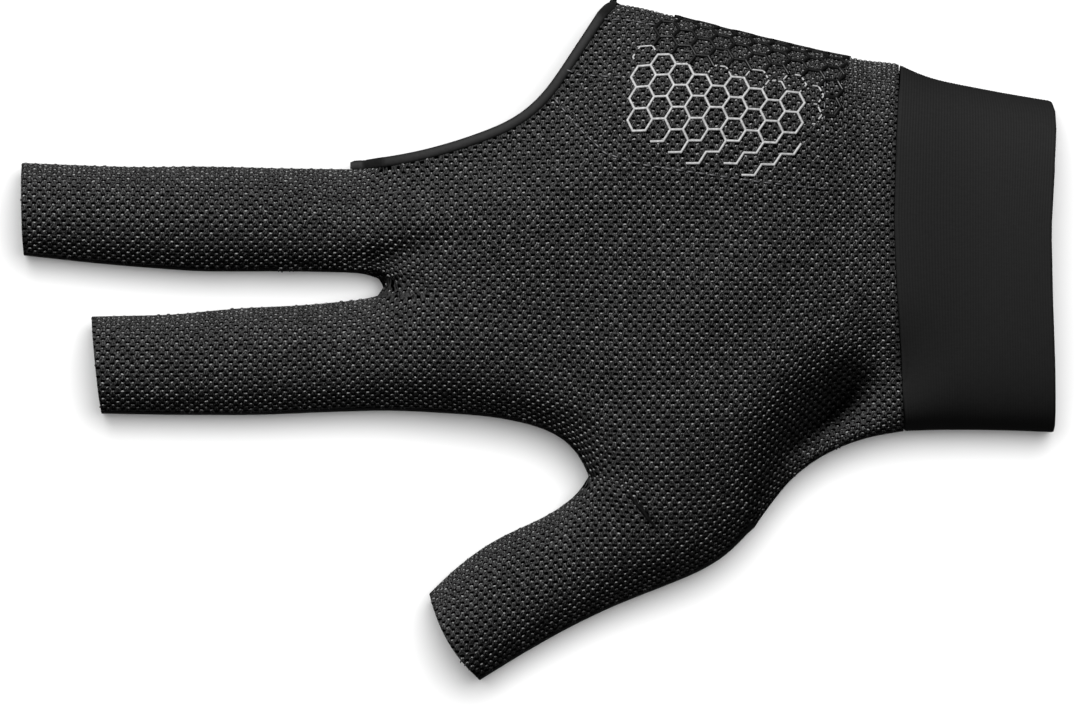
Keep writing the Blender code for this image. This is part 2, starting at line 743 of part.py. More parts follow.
def stand_on_origin(objects):
    """Hangs every piece on one empty, with the origin under the middle of the glove, on its resting face."""
    corners = np.array([v.co for obj in objects for v in obj.data.vertices])
    low, high = corners.min(axis=0), corners.max(axis=0)
    origin = bpy.data.objects.new("glove_origin", None)
    bpy.context.scene.collection.objects.link(origin)
    for obj in objects:
        obj.parent = origin
        obj.location = (-(low[0] + high[0]) / 2, -(low[1] + high[1]) / 2, -low[2])


def build():
    for obj in list(bpy.data.objects):
        bpy.data.objects.remove(obj)
    glove = Glove()
    knit = new_material("air_mesh_knit", KNIT_BLACK)
    smooth = new_material("smooth_stretch_cloth", SMOOTH_BLACK)
    elastic = new_material("elastic_band", CUFF_BLACK)
    tape = new_material("binding_tape", TAPE_GREY)
    silver = new_material("silver_grip_print", GRIP_SILVER)
    objects = [
        cloth_piece(glove, "palm_panel", PANEL_WALL, knit),
        cloth_piece(glove, "back_panel", PANEL_WALL, smooth),
        cloth_piece(glove, "wrist_cuff", CUFF_WALL, elastic),
        binding("palm_binding", *mouth_rim(glove, glove.upper), BINDING_PROUD, tape),
        binding("back_binding", *mouth_rim(glove, glove.lower), 0.0, tape),
        grip(glove, silver),
    ]
    stand_on_origin(objects)


build()
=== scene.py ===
import math

import bmesh
import bpy
import numpy as np
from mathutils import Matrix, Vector
from mathutils.bvhtree import BVHTree
from mathutils.interpolate import poly_3d_calc
from mathutils.kdtree import KDTree


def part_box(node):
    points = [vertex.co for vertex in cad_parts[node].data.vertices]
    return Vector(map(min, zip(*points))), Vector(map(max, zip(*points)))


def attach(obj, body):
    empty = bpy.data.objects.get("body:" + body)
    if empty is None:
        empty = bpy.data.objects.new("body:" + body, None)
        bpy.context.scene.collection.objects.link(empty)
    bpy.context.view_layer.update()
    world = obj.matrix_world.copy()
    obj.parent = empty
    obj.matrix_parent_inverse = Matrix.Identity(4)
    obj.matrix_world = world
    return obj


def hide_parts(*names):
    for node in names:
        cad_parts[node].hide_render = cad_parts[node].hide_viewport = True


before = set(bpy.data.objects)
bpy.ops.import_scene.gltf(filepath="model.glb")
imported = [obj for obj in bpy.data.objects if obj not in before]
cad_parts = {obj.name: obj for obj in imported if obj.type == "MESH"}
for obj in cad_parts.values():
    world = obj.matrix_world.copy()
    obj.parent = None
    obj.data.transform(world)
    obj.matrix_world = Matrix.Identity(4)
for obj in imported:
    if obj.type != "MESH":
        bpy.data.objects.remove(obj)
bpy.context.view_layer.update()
mm = 0.001

# The photo's frame, for what is placed by where it shows there.
photo = {
    "size": (1080, 719),
    "metresPerPixel": 0.2033 * mm,
    "overOrigin": (538.5, 342.5),    # the pixel that lies over the frame's origin
}


def fromPhoto(px, py):
    step = photo["metresPerPixel"]
    return (px - photo["overOrigin"][0]) * step, (photo["overOrigin"][1] - py) * step


def linearColour(code):
    parts = [int(code[i:i + 2], 16) / 255 for i in (1, 3, 5)]
    return (*[p / 12.92 if p <= 0.04045 else ((p + 0.055) / 1.055) ** 2.4 for p in parts], 1.0)


def addNode(tree, kind, inputs=None, **settings):
    node = tree.nodes.new(kind)
    for key, value in settings.items():
        setattr(node, key, value)
    for key, value in (inputs or {}).items():
        if isinstance(value, bpy.types.NodeSocket):
            tree.links.new(value, node.inputs[key])
        else:
            node.inputs[key].default_value = value
    return node


# Meshes

def newObject(name, mesh):
    piece = bpy.data.objects.new(name, mesh)
    bpy.context.scene.collection.objects.link(piece)
    return piece


def meshFrom(name, points, faces, edges=()):
    mesh = bpy.data.meshes.new(name)
    mesh.from_pydata([tuple(map(float, p)) for p in points], list(edges), [tuple(map(int, f)) for f in faces])
    mesh.update()
    return mesh


def dressed(piece, material, slot, *nodes):
    # Every piece rides with the glove, which has no joints, so its one body is root.
    if material:
        piece.data.materials.clear()
        piece.data.materials.append(material)
    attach(piece, "root")
    if nodes:
        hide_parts(*nodes)
    return piece


def skinRegions(bm, sharpAngle):
    # Faces grouped by what lies between sharp edges: the outer skin first, then the inner one.
    layer = bm.faces.layers.int.new("skin")
    left, groups = set(bm.faces), []
    while left:
        stack, group = [left.pop()], []
        while stack:
            face = stack.pop()
            group.append(face)
            for edge in face.edges:
                if edge.calc_face_angle(math.pi) < sharpAngle:
                    for other in edge.link_faces:
                        if other in left:
                            left.remove(other)
                            stack.append(other)
        groups.append(group)
    groups.sort(key=lambda g: -sum(f.calc_area() for f in g))
    for number, group in enumerate(groups[:2]):
        for face in group:
            face[layer] = number + 1
    return layer


def weldedPanel(nodeName, pieceName):
    # A copy of a CAD panel with its triangles welded and paired, its skins told apart and its rims creased.
    bm = bmesh.new()
    bm.from_mesh(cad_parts[nodeName].data)
    for name in [layer.name for layer in bm.loops.layers.uv.values()]:
        bm.loops.layers.uv.remove(bm.loops.layers.uv[name])
    bmesh.ops.remove_doubles(bm, verts=bm.verts, dist=0.005 * mm)
    bmesh.ops.join_triangles(
        bm, faces=bm.faces, angle_face_threshold=math.radians(30), angle_shape_threshold=math.radians(60))
    layer = skinRegions(bm, math.radians(50))
    crease = bm.edges.layers.float.new("crease_edge")
    corner = bm.verts.layers.float.new("crease_vert")
    for edge in bm.edges:
        if len({face[layer] for face in edge.link_faces}) > 1:
            edge[crease] = 1.0
    for vert in bm.verts:
        ways = [(e.other_vert(vert).co - vert.co).normalized() for e in vert.link_edges if e[crease]]
        # Subdivision would round the corners where a rim turns.
        if len(ways) > 2 or len(ways) == 2 and ways[0].dot(ways[1]) > -0.8:
            vert[corner] = 1.0
    mesh = bpy.data.meshes.new(pieceName)
    bm.to_mesh(mesh)
    bm.free()
    if "custom_normal" in mesh.attributes:
        mesh.attributes.remove(mesh.attributes["custom_normal"])
    return newObject(pieceName, mesh)


def cutFlat(piece, middle):
    # Unrolls each skin as a flat pattern in metres, its grain along the arm, set to the plan at its middle.
    mesh = piece.data
    layer = mesh.uv_layers.new(name="cloth")
    points = np.array([v.co for v in mesh.vertices])
    skin = np.array([value.value for value in mesh.attributes["skin"].data])
    uvs = np.empty((len(mesh.loops), 2))
    for polygon in mesh.polygons:
        if skin[polygon.index] == 0:
            at = points[list(polygon.vertices)]
            uvs[list(polygon.loop_indices)] = at[:, :2] + at[:, 2:]
    for number in (1, 2):
        own = [p for p in mesh.polygons if skin[p.index] == number]
        facing = math.copysign(1.0, sum(p.area * p.normal.z for p in own))
        used = sorted({i for p in own for i in p.vertices})
        place = {vertex: i for i, vertex in enumerate(used)}
        system = np.eye(len(used)) * 1e-9
        aims = np.zeros((len(used), 2))
        for polygon in own:
            normal = np.array(polygon.normal)
            grain = np.array((1.0, 0.0, 0.0)) - normal * normal[0]
            grain /= np.linalg.norm(grain)
            across = np.cross(normal, grain) * facing
            corners = list(polygon.vertices)
            for a, b in zip(corners, corners[1:] + corners[:1], strict=True):
                i, j = place[a], place[b]
                step = points[b] - points[a]
                aim = np.array((step @ grain, step @ across))
                system[i, i] += 1
                system[j, j] += 1
                system[i, j] -= 1
                system[j, i] -= 1
                aims[j] += aim
                aims[i] -= aim
        flat = np.linalg.solve(system, aims)
        nearest = int(np.argmin(np.linalg.norm(points[used][:, :2] - np.array(middle), axis=1)))
        flat += points[used[nearest]][:2] - flat[nearest]
        for polygon in own:
            uvs[list(polygon.loop_indices)] = flat[[place[i] for i in polygon.vertices]]
    layer.data.foreach_set("uv", uvs.ravel())


def smoothed(piece, levels):
    # The curved cloth between the CAD panel's corners.
    modifier = piece.modifiers.new("curve", "SUBSURF")
    modifier.levels = modifier.render_levels = levels
    modifier.uv_smooth = "PRESERVE_BOUNDARIES"
    fixed = bpy.data.meshes.new_from_object(piece.evaluated_get(bpy.context.evaluated_depsgraph_get()))
    piece.modifiers.clear()
    piece.data = fixed
    fixed.name = piece.name
    fixed.shade_smooth()
    fixed.set_sharp_from_angle(angle=math.radians(50))
    return piece


class Cloth:
    # Reads places on a panel's outer skin, from the plan and from the flat pattern.
    def __init__(self, piece):
        mesh = piece.data
        self.mesh = mesh
        skin = mesh.attributes["skin"].data
        self.faces = [p.index for p in mesh.polygons if skin[p.index].value == 1]
        self.points = [v.co.copy() for v in mesh.vertices]
        self.polygons = [list(mesh.polygons[i].vertices) for i in self.faces]
        self.tree = BVHTree.FromPolygons(self.points, self.polygons)
        self.uvData = mesh.uv_layers["cloth"].data
        self.loop = self.rimLoop(skin)

    def rimLoop(self, skin):
        # The outer skin's border, in order: its points, the skin's normals there and the ways off the cloth.
        count, normals, outs = {}, {}, {}
        for i in self.faces:
            polygon = self.mesh.polygons[i]
            corners = list(polygon.vertices)
            for a, b in zip(corners, corners[1:] + corners[:1], strict=True):
                count[(a, b)] = polygon.normal
        border = {a: b for (a, b) in count if (b, a) not in count}
        for (a, b), normal in count.items():
            normals[a] = normals.get(a, Vector()) + normal
            if (b, a) not in count:
                out = (self.points[b] - self.points[a]).normalized().cross(normal)
                outs[a] = outs.get(a, Vector()) + out
                outs[b] = outs.get(b, Vector()) + out
        start = next(iter(border))
        order = [start]
        while border[order[-1]] != start and len(order) <= len(border):
            order.append(border[order[-1]])
        return [(self.points[i], normals[i].normalized(), outs[i].normalized()) for i in order]

    def below(self, x, y):
        # Where the plan's point lies on the skin, the normal there, and its place in the flat pattern.
        spot, normal, index, _ = self.tree.ray_cast(Vector((x, y, 0.1)), Vector((0, 0, -1)))
        if spot is None:
            spot, normal, index, _ = self.tree.find_nearest(Vector((x, y, 0.008)))
        polygon = self.mesh.polygons[self.faces[index]]
        weights = poly_3d_calc([self.points[i] for i in polygon.vertices], spot)
        uv = Vector((0, 0))
        for weight, loop in zip(weights, polygon.loop_indices, strict=True):
            uv += weight * self.uvData[loop].uv
        return spot, normal, uv

    def rimStretch(self, start, end, via):
        # The border between two places of the plan, by way of a third.
        plan = np.array([spot[0][:2] for spot in self.loop])
        first, last, middle = (int(np.argmin(np.linalg.norm(plan - np.array(p), axis=1)))
                               for p in (start, end, via))
        count = len(self.loop)
        ahead = [(first + k) % count for k in range((last - first) % count + 1)]
        if middle not in ahead:
            ahead = [(last + k) % count for k in range((first - last) % count + 1)][::-1]
        return [self.loop[i] for i in ahead]


def closedForm(name, points, faces):
    # Its faces all turned outwards, and smooth but for its corners.
    mesh = meshFrom(name, points, faces)
    bm = bmesh.new()
    bm.from_mesh(mesh)
    bmesh.ops.recalc_face_normals(bm, faces=bm.faces)
    bm.to_mesh(mesh)
    bm.free()
    mesh.shade_smooth()
    mesh.set_sharp_from_angle(angle=math.radians(60))
    return newObject(name, mesh)


def sweep(name, path, normals, outs, profile, taper=None):
    # A closed strip along a path: the profile's points are (off the cloth, up the normal) in metres.
    count = len(path)
    points, sides = [], len(profile)
    for i, (point, normal, out) in enumerate(zip(path, normals, outs, strict=True)):
        along = (path[min(i + 1, count - 1)] - path[max(i - 1, 0)]).normalized()
        up = (normal - along * normal.dot(along)).normalized()
        side = along.cross(up)
        if side.dot(out) < 0:
            side.negate()
        size = taper(i / (count - 1)) if taper else 1.0
        for off, lift in profile:
            points.append(point + side * (off * size) + up * (lift * size))
    faces = []
    for i in range(count - 1):
        for j in range(sides):
            k = (j + 1) % sides
            faces.append((i * sides + j, i * sides + k, (i + 1) * sides + k, (i + 1) * sides + j))
    faces.append(tuple(range(sides))[::-1])
    faces.append(tuple((count - 1) * sides + j for j in range(sides)))
    return closedForm(name, points, faces)


def evenly(rows, step):
    # A path's rows of vectors, the first its points, set out again with one every step along it.
    table = np.array([[c for vector in row for c in vector] for row in rows])
    lengths = np.concatenate([[0], np.cumsum(np.linalg.norm(np.diff(table[:, :3], axis=0), axis=1))])
    at = np.linspace(0, lengths[-1], max(2, round(lengths[-1] / step) + 1))
    spread = np.stack([np.interp(at, lengths, column) for column in table.T], axis=1)
    return [[Vector(row[k:k + 3]) for row in spread] for k in range(0, table.shape[1], 3)]


def geometryTree(name, inputs):
    # A node group for a Geometry Nodes modifier, with its named inputs.
    tree = bpy.data.node_groups.new(name, "GeometryNodeTree")
    tree.interface.new_socket("Geometry", in_out="INPUT", socket_type="NodeSocketGeometry")
    for label, kind in inputs:
        tree.interface.new_socket(label, in_out="INPUT", socket_type="NodeSocket" + kind)
    tree.interface.new_socket("Geometry", in_out="OUTPUT", socket_type="NodeSocketGeometry")
    return tree, tree.nodes.new("NodeGroupInput").outputs


def grown(base, tree, values, name):
    # Runs a tree on an object and keeps the result as a plain mesh.
    modifier = base.modifiers.new(tree.name, "NODES")
    modifier.node_group = tree
    for item in tree.interface.items_tree:
        if item.in_out == "INPUT" and item.name in values:
            modifier[item.identifier] = values[item.name]
    bpy.context.view_layer.update()
    mesh = bpy.data.meshes.new_from_object(base.evaluated_get(bpy.context.evaluated_depsgraph_get()))
    base.modifiers.clear()
    mesh.name = name
    return newObject(name, mesh)


# Materials

knit = {
    "pitch": 2.0 * mm,     # from knot to knot along a course
    "course": 0.93 * mm,   # from course to course; each is set off by half a pitch
    "hole": (0.60 * mm, 0.27 * mm),    # half the length and half the height of a gap
    "yarn": "#3a3a3a",
    "yarnDark": "#060606",
    # the gaps' colour: painted shade over the dark cloth inside
    "gapShade": "#000000",
}


def newMaterial(name, roughness, specular):
    material = bpy.data.materials.new(name)
    material.use_nodes = True
    shader = material.node_tree.nodes["Principled BSDF"]
    shader.inputs["Roughness"].default_value = roughness
    shader.inputs["Specular IOR Level"].default_value = specular
    return material, material.node_tree, shader


def airMeshKnit():
    # Air-mesh polyester warp knit: matt yarn round small holes painted black, the dark cloth inside with
    # painted shade, speckled by its filaments.
    material, tree, shader = newMaterial("airMeshKnit", 0.8, 0.06)
    uv = addNode(tree, "ShaderNodeUVMap", uv_map="cloth").outputs["UV"]
    place = addNode(tree, "ShaderNodeSeparateXYZ", {0: uv}).outputs
    # Wales stand half a pitch apart. A wale's knots are two courses apart, set off from its neighbours'.
    halfPitch = knit["pitch"] / 2
    holeLong, holeHigh = knit["hole"]
    along = addNode(tree, "ShaderNodeMath", {0: place["X"], 1: halfPitch}, operation="DIVIDE").outputs[0]
    wale = addNode(tree, "ShaderNodeMath", {0: along}, operation="ROUND").outputs[0]
    aside = addNode(tree, "ShaderNodeMath", {0: along, 1: wale}, operation="SUBTRACT").outputs[0]
    odd = addNode(tree, "ShaderNodeMath", {0: wale, 1: 2.0}, operation="FLOORED_MODULO").outputs[0]
    course = addNode(
        tree, "ShaderNodeMath", {0: place["Y"], 1: knit["course"]}, operation="DIVIDE").outputs[0]
    down = addNode(tree, "ShaderNodeMath", {0: odd, 1: course}, operation="SUBTRACT").outputs[0]
    down = addNode(tree, "ShaderNodeMath", {0: down, 1: 0.5}, operation="MULTIPLY").outputs[0]
    down = addNode(tree, "ShaderNodeMath", {0: down}, operation="FRACT").outputs[0]
    # The gap opens three quarters of the way from a knot down to the next.
    fromGap = addNode(tree, "ShaderNodeMath", {0: down, 1: 0.75}, operation="SUBTRACT").outputs[0]
    across = addNode(
        tree, "ShaderNodeMath", {0: aside, 1: halfPitch / holeLong}, operation="MULTIPLY").outputs[0]
    upright = addNode(
        tree, "ShaderNodeMath", {0: fromGap, 1: knit["course"] * 2 / holeHigh}, operation="MULTIPLY"
    ).outputs[0]
    ring = addNode(tree, "ShaderNodeCombineXYZ", {0: across, 1: upright}).outputs[0]
    ring = addNode(tree, "ShaderNodeVectorMath", {0: ring}, operation="LENGTH").outputs["Value"]
    hole = addNode(
        tree, "ShaderNodeMapRange", {"Value": ring, "From Min": 1.35, "From Max": 0.65},
        interpolation_type="SMOOTHSTEP").outputs[0]
    # The filaments are about 0.05 mm, drawn four times as coarse so that they show.
    strands = addNode(tree, "ShaderNodeMapping", {"Vector": uv, "Scale": (1.0, 0.4, 1.0)}).outputs[0]
    filament = addNode(
        tree, "ShaderNodeTexNoise", {"Vector": strands, "Scale": 4500.0, "Detail": 2.0, "Roughness": 0.6}
    ).outputs["Fac"]
    spread = addNode(
        tree, "ShaderNodeMapRange", {"Value": filament, "From Min": 0.42, "From Max": 0.6}).outputs[0]
    tint = addNode(tree, "ShaderNodeMix", {0: spread}, data_type="RGBA")
    tint.inputs[6].default_value = linearColour(knit["yarnDark"])
    tint.inputs[7].default_value = linearColour(knit["yarn"])
    colour = addNode(tree, "ShaderNodeMix", {0: hole, 6: tint.outputs[2]}, data_type="RGBA")
    # The holes are painted black: the dark cloth inside them, darkened further as painted shade.
    colour.inputs[7].default_value = linearColour(knit["gapShade"])
    tree.links.new(colour.outputs[2], shader.inputs["Base Color"])
    height = addNode(tree, "ShaderNodeMath", {0: filament, 1: 0.35}, operation="MULTIPLY").outputs[0]
    height = addNode(tree, "ShaderNodeMath", {0: height, 1: hole}, operation="SUBTRACT").outputs[0]
    bump = addNode(
        tree, "ShaderNodeBump", {"Height": height, "Strength": 0.8, "Distance": 0.25 * mm}).outputs[0]
    tree.links.new(bump, shader.inputs["Normal"])
    gloss = addNode(tree, "ShaderNodeMapRange", {"Value": hole, "To Min": 0.06, "To Max": 0.0}).outputs[0]
    tree.links.new(gloss, shader.inputs["Specular IOR Level"])
    return material


def knotYarn():
    # The same polyester where it stands up in the knit's knots, smoother, with painted light on their tops
    # and painted shade down their strands.
    material, tree, shader = newMaterial("knotYarn", 0.55, 0.15)
    where = addNode(tree, "ShaderNodeTexCoord").outputs["Object"]
    strands = addNode(tree, "ShaderNodeMapping", {"Vector": where, "Scale": (1.0, 0.5, 1.0)}).outputs[0]
    fleck = addNode(
        tree, "ShaderNodeTexNoise", {"Vector": strands, "Scale": 3600.0, "Detail": 2.0, "Roughness": 0.7}
    ).outputs["Fac"]
    spread = addNode(
        tree, "ShaderNodeMapRange", {"Value": fleck, "From Min": 0.44, "From Max": 0.57}).outputs[0]
    # The top of a knot is painted paler than the strands that run down from it: painted light on the top,
    # painted shade down the strands.
    top = addNode(tree, "ShaderNodeAttribute", attribute_name="paleness").outputs["Fac"]
    dark = addNode(tree, "ShaderNodeMix", {0: top}, data_type="RGBA")
    dark.inputs[6].default_value = linearColour("#020202")
    dark.inputs[7].default_value = linearColour("#1c1c1c")
    pale = addNode(tree, "ShaderNodeMix", {0: top}, data_type="RGBA")
    pale.inputs[6].default_value = linearColour("#484848")
    pale.inputs[7].default_value = linearColour("#8a8a8a")
    tint = addNode(
        tree, "ShaderNodeMix", {0: spread, 6: dark.outputs[2], 7: pale.outputs[2]}, data_type="RGBA")
    tree.links.new(tint.outputs[2], shader.inputs["Base Color"])
    return material


def stretchCloth():
    # Smooth nylon and elastane jersey: fine wales, a low even sheen.
    material, tree, shader = newMaterial("stretchJersey", 0.7, 0.08)
    uv = addNode(tree, "ShaderNodeUVMap", uv_map="cloth").outputs["UV"]
    # Wales every 1 mm, drawn three times as coarse as the real 0.3 mm so that they show.
    wales = addNode(
        tree, "ShaderNodeTexWave", {"Vector": uv, "Scale": 320.0, "Distortion": 0.6, "Detail": 1.0},
        wave_type="BANDS", bands_direction="Y").outputs["Fac"]
    cloud = addNode(tree, "ShaderNodeTexNoise", {"Vector": uv, "Scale": 90.0, "Detail": 4.0}).outputs["Fac"]
    tint = addNode(tree, "ShaderNodeMix", {0: cloud}, data_type="RGBA")
    tint.inputs[6].default_value = linearColour("#101011")
    tint.inputs[7].default_value = linearColour("#1d1d1e")
    tree.links.new(tint.outputs[2], shader.inputs["Base Color"])
    bump = addNode(
        tree, "ShaderNodeBump", {"Height": wales, "Strength": 0.35, "Distance": 0.08 * mm}).outputs[0]
    tree.links.new(bump, shader.inputs["Normal"])
    return material


def mottled(name, dark, pale, grain, roughness, specular, stretch=(1, 1, 1), span=(0, 1), bump=None):
    # A plain surface whose grain tints it, and stands up by the bump's strength and height.
    material, tree, shader = newMaterial(name, roughness, specular)
    where = addNode(tree, "ShaderNodeTexCoord").outputs["Object"]
    drawn = addNode(tree, "ShaderNodeMapping", {"Vector": where, "Scale": stretch}).outputs[0]
    fleck = addNode(tree, "ShaderNodeTexNoise", {"Vector": drawn, **grain}).outputs["Fac"]
    share = addNode(
        tree, "ShaderNodeMapRange", {"Value": fleck, "From Min": span[0], "From Max": span[1]}).outputs[0]
    tint = addNode(tree, "ShaderNodeMix", {0: share}, data_type="RGBA")
    tint.inputs[6].default_value = linearColour(dark)
    tint.inputs[7].default_value = linearColour(pale)
    tree.links.new(tint.outputs[2], shader.inputs["Base Color"])
    if bump:
        raised = addNode(
            tree, "ShaderNodeBump", {"Height": fleck, "Strength": bump[0], "Distance": bump[1]}).outputs[0]
        tree.links.new(raised, shader.inputs["Normal"])
    return material


brushed = {"Scale": 700.0, "Detail": 3.0, "Roughness": 0.6}
tight = {"Scale": 1600.0, "Detail": 3.0, "Roughness": 0.6}
printed = {"Scale": 1800.0, "Detail": 3.0, "Roughness": 0.65}
twisted = {"Scale": 2500.0, "Detail": 1.0}
fineBump = (0.4, 0.06 * mm)
materials = {
    "knit": airMeshKnit(),
    "knot": knotYarn(),
    "jersey": stretchCloth(),
    # Woven elastic with a brushed face, matt and even.
    "elastic": mottled("ribbedElastic", "#151515", "#1d1d1d", brushed, 0.75, 0.08, stretch=(1.0, 4.0, 4.0),
                       bump=(0.3, 0.05 * mm)),
    # Fold-over elastic tape: a smooth, tight face. The tape sewn in a seam is darker, in its shade.
    "tape": mottled("foldOverTape", "#0a0a0a", "#202020", tight, 0.6, 0.1, bump=fineBump),
    "seamTape": mottled("seamTape", "#030303", "#101010", tight, 0.6, 0.1, bump=fineBump),
    # Screen-printed silicone, glossier than the cloth.
    "silver": mottled(
        "silverSilicone", "#787878", "#ababab", printed, 0.5, 0.4, span=(0.3, 0.7), bump=fineBump),
    "black": mottled(
        "blackSilicone", "#040404", "#0a0a0a", printed, 0.4, 0.4, span=(0.3, 0.7), bump=fineBump),
    # Bonded polyester sewing thread, twisted, with a slight gloss.
    "thread": mottled("sewingThread", "#1a1a1b", "#4a4a4c", twisted, 0.45, 0.5),
}
print("materials made")

# The two cloth panels

folds = [
    # The palm's creases and hollows: middle in photo pixels, half length and half width in mm, the way its
    # length runs in degrees up from the photo's right, and how far it lifts the cloth in mm.
    ((847, 400), 8.0, 4.2, 60, -4.6),       # the hollow between the palm's ball and the wrist
    ((818, 436), 10.0, 4.4, 34, -3.8),      # and its end, down to the heel of the thumb
    ((772, 372), 12.0, 6.0, 50, 1.2),       # the shoulder before that hollow
    ((869, 366), 7.0, 2.0, -48, 1.0),       # creases that fan out from the wrist seam
    ((888, 380), 6.0, 1.6, -60, 0.5),
    ((880, 345), 8.0, 1.5, -40, -0.5),
    ((402, 254), 11.0, 3.6, 14, -2.6),      # behind the fork of the fingers
    ((432, 300), 9.0, 4.5, 10, 0.9),
    ((715, 300), 17.0, 9.0, 38, 2.2),       # the ball of the palm
    ((600, 395), 16.0, 3.5, -42, -0.7),     # the line from the web to the palm's middle
    ((612, 491), 5.0, 2.2, -42, 0.8),       # the pleat at the thumb's root
    ((639, 507), 6.0, 0.9, -50, -1.3),
    ((505, 150), 9.0, 2.0, 25, -0.4),
    ((868, 110), 12.0, 5.0, 92, -1.2),      # before the wrist seam, on the outer side
]

slopes = [
    # Where the palm's cloth falls straight to its rim: from which photo pixel, to which, by way of which,
    # how steeply, and the mm over which it ends.
    ((22, 259), (374, 285), (200, 265), 1.35, 10),
    ((101, 414), (580, 462), (380, 413), 1.3, 12),
    ((483, 682), (880, 432), (740, 540), 1.28, 7),
]

pull = {
    # How far the wrist seam and the cuff's end are drawn along the arm, in mm, by the photo's row of pixels.
    "seam": ((60, 0.0), (140, -1.0), (218, -1.5), (282, -1.0), (350, -0.1), (420, 0.8), (440, 0.9)),
    "end": ((92, -2.0), (97, -1.4), (103, -0.6), (112, -0.1), (130, 0.0), (180, -0.6),
            (230, -1.2), (300, -0.9), (370, -0.35), (425, -0.1), (436, -0.4)),
    "seamReach": 18 * mm,
    "endReach": 20 * mm,
}


def pulled(points):
    # The wrist seam and the cuff's open end are bowed in the photo, where the CAD has them straight.
    low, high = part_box("wrist_cuff")
    row = photo["overOrigin"][1] - points[:, 1] / photo["metresPerPixel"]
    for key, at, reach in (("seam", low[0], pull["seamReach"]), ("end", high[0], pull["endReach"])):
        rows, shifts = zip(*pull[key], strict=True)
        share = np.clip(1 - np.abs(points[:, 0] - at) / reach, 0, 1)
        points[:, 0] += np.interp(row, rows, shifts) * mm * share * share * (3 - 2 * share)
    return points


def pulledPanel(piece):
    points = pulled(np.array([v.co for v in piece.data.vertices]))
    piece.data.vertices.foreach_set("co", points.ravel())
    piece.data.update()


def straightSlopes(points, before):
    # How far each point sinks to the straight slopes, softly where they meet the flat of the palm.
    sink = np.zeros(len(points))
    step, reach = 0.5 * mm, 16 * mm
    soft, kept = 0.9 * mm, 1.2 * mm    # the bend at a slope's top, and the strip at the rim that stays
    for start, end, via, steep, fade in slopes:
        rows = before.rimStretch(fromPhoto(*start), fromPhoto(*end), fromPhoto(*via))
        rim = evenly(rows, step)[0]
        tree = KDTree(len(rim))
        for i, point in enumerate(rim):
            tree.insert((point.x, point.y, 0), i)
        tree.balance()
        for k, (x, y, z) in enumerate(points):
            _, i, away = tree.find((x, y, 0))
            if away < reach:
                top = before.tree.ray_cast(Vector((x, y, 0.1)), Vector((0, 0, -1)))[0]
                over = (top.z if top else z) - rim[i].z - steep * away
                share = min(1, (len(rim) - 1 - i) * step / (fade * mm))
                share *= min(1, math.hypot(away, z - rim[i].z) / kept)
                sink[k] = min(sink[k], -(over + math.hypot(over, soft)) / 2 * share)
    return sink


def foldedCloth(piece):
    # Lifts both skins together, and leaves the rims where the other pieces meet them.
    mesh = piece.data
    points = np.array([v.co for v in mesh.vertices])
    # The strip at a rim that stays, the way over which the folds fade, and the height that they start from.
    bare, fade, foot = 1.0 * mm, 6 * mm, 6 * mm
    points[:, 2] += straightSlopes(points, Cloth(piece))
    rims = KDTree(len(mesh.polygons))
    for polygon in mesh.polygons:
        if mesh.attributes["skin"].data[polygon.index].value == 0:
            rims.insert(polygon.center, polygon.index)
    rims.balance()
    away = np.array([rims.find(v.co)[2] for v in mesh.vertices])
    share = np.clip((away - bare) / fade, 0, 1)
    share = share * share * (3 - 2 * share)
    lift = np.zeros(len(points))
    for middle, long, wide, turn, height in folds:
        x, y = fromPhoto(*middle)
        c, s = math.cos(math.radians(turn)), math.sin(math.radians(turn))
        along = ((points[:, 0] - x) * c + (points[:, 1] - y) * s) / (long * mm)
        across = ((points[:, 1] - y) * c - (points[:, 0] - x) * s) / (wide * mm)
        lift += height * mm * np.exp(-along ** 2 - across ** 2)
    # Only the upper side moves, and it fades out down the folded edges.
    points[:, 2] += lift * share * np.clip((points[:, 2] - foot) / fade, 0, 1)
    mesh.vertices.foreach_set("co", points.ravel())
    mesh.update()


palmPanel = weldedPanel("palm_panel", "palmMesh")
cutFlat(palmPanel, fromPhoto(700, 300))
smoothed(palmPanel, 2)
foldedCloth(palmPanel)
pulledPanel(palmPanel)
dressed(palmPanel, materials["knit"], "palm_mesh", "palm_panel")
palmCloth = Cloth(palmPanel)

backPanel = weldedPanel("back_panel", "backJersey")
cutFlat(backPanel, fromPhoto(700, 300))
smoothed(backPanel, 2)
pulledPanel(backPanel)
dressed(backPanel, materials["jersey"], "back_cloth", "back_panel")
backCloth = Cloth(backPanel)
print("panels made:", len(palmPanel.data.polygons), len(backPanel.data.polygons), "faces")

# The knit's knots

knot = {
    "head": (0.78 * mm, 0.38 * mm, 0.27 * mm),       # the tight loop's length, width and height
    "leg": (0.40 * mm, 1.15 * mm, 0.26 * mm),        # one of the two strands that run down from it
    "apart": 0.48 * mm,                              # the two strands' middles
    "lift": 0.02 * mm,
    "twist": 0.5,                                    # radians that a knot may lie askew
    "margin": 0.6 * mm,                              # bare cloth at a cut edge
    "seed": 7,
    # Parts of the palm cloth, by photo pixels: name, from x, to x, from y, to y. No two of a part's places
    # share one in the flat pattern, though the fingers' sides would across the forks.
    "parts": [
        ("middleKnots", -50, 380, -50, 290),
        ("indexKnots", -50, 470, 290, 475),
        ("thumbKnots", -50, 1100, 475, 800),
        ("palmKnots", 470, 1100, 290, 475),
        ("knuckleKnots", 380, 640, -50, 290),
        ("heelKnots", 640, 1100, -50, 290),
    ],
}


def facesMarked(tree, geometry, name, value):
    # Keeps the faces whose mark has this value.
    mark = addNode(tree, "GeometryNodeInputNamedAttribute", {"Name": name}, data_type="INT")
    other = addNode(
        tree, "FunctionNodeCompare", {2: mark.outputs["Attribute"], 3: value}, data_type="INT",
        operation="NOT_EQUAL")
    return addNode(
        tree, "GeometryNodeDeleteGeometry", {"Geometry": geometry, "Selection": other.outputs[0]},
        domain="FACE").outputs[0]


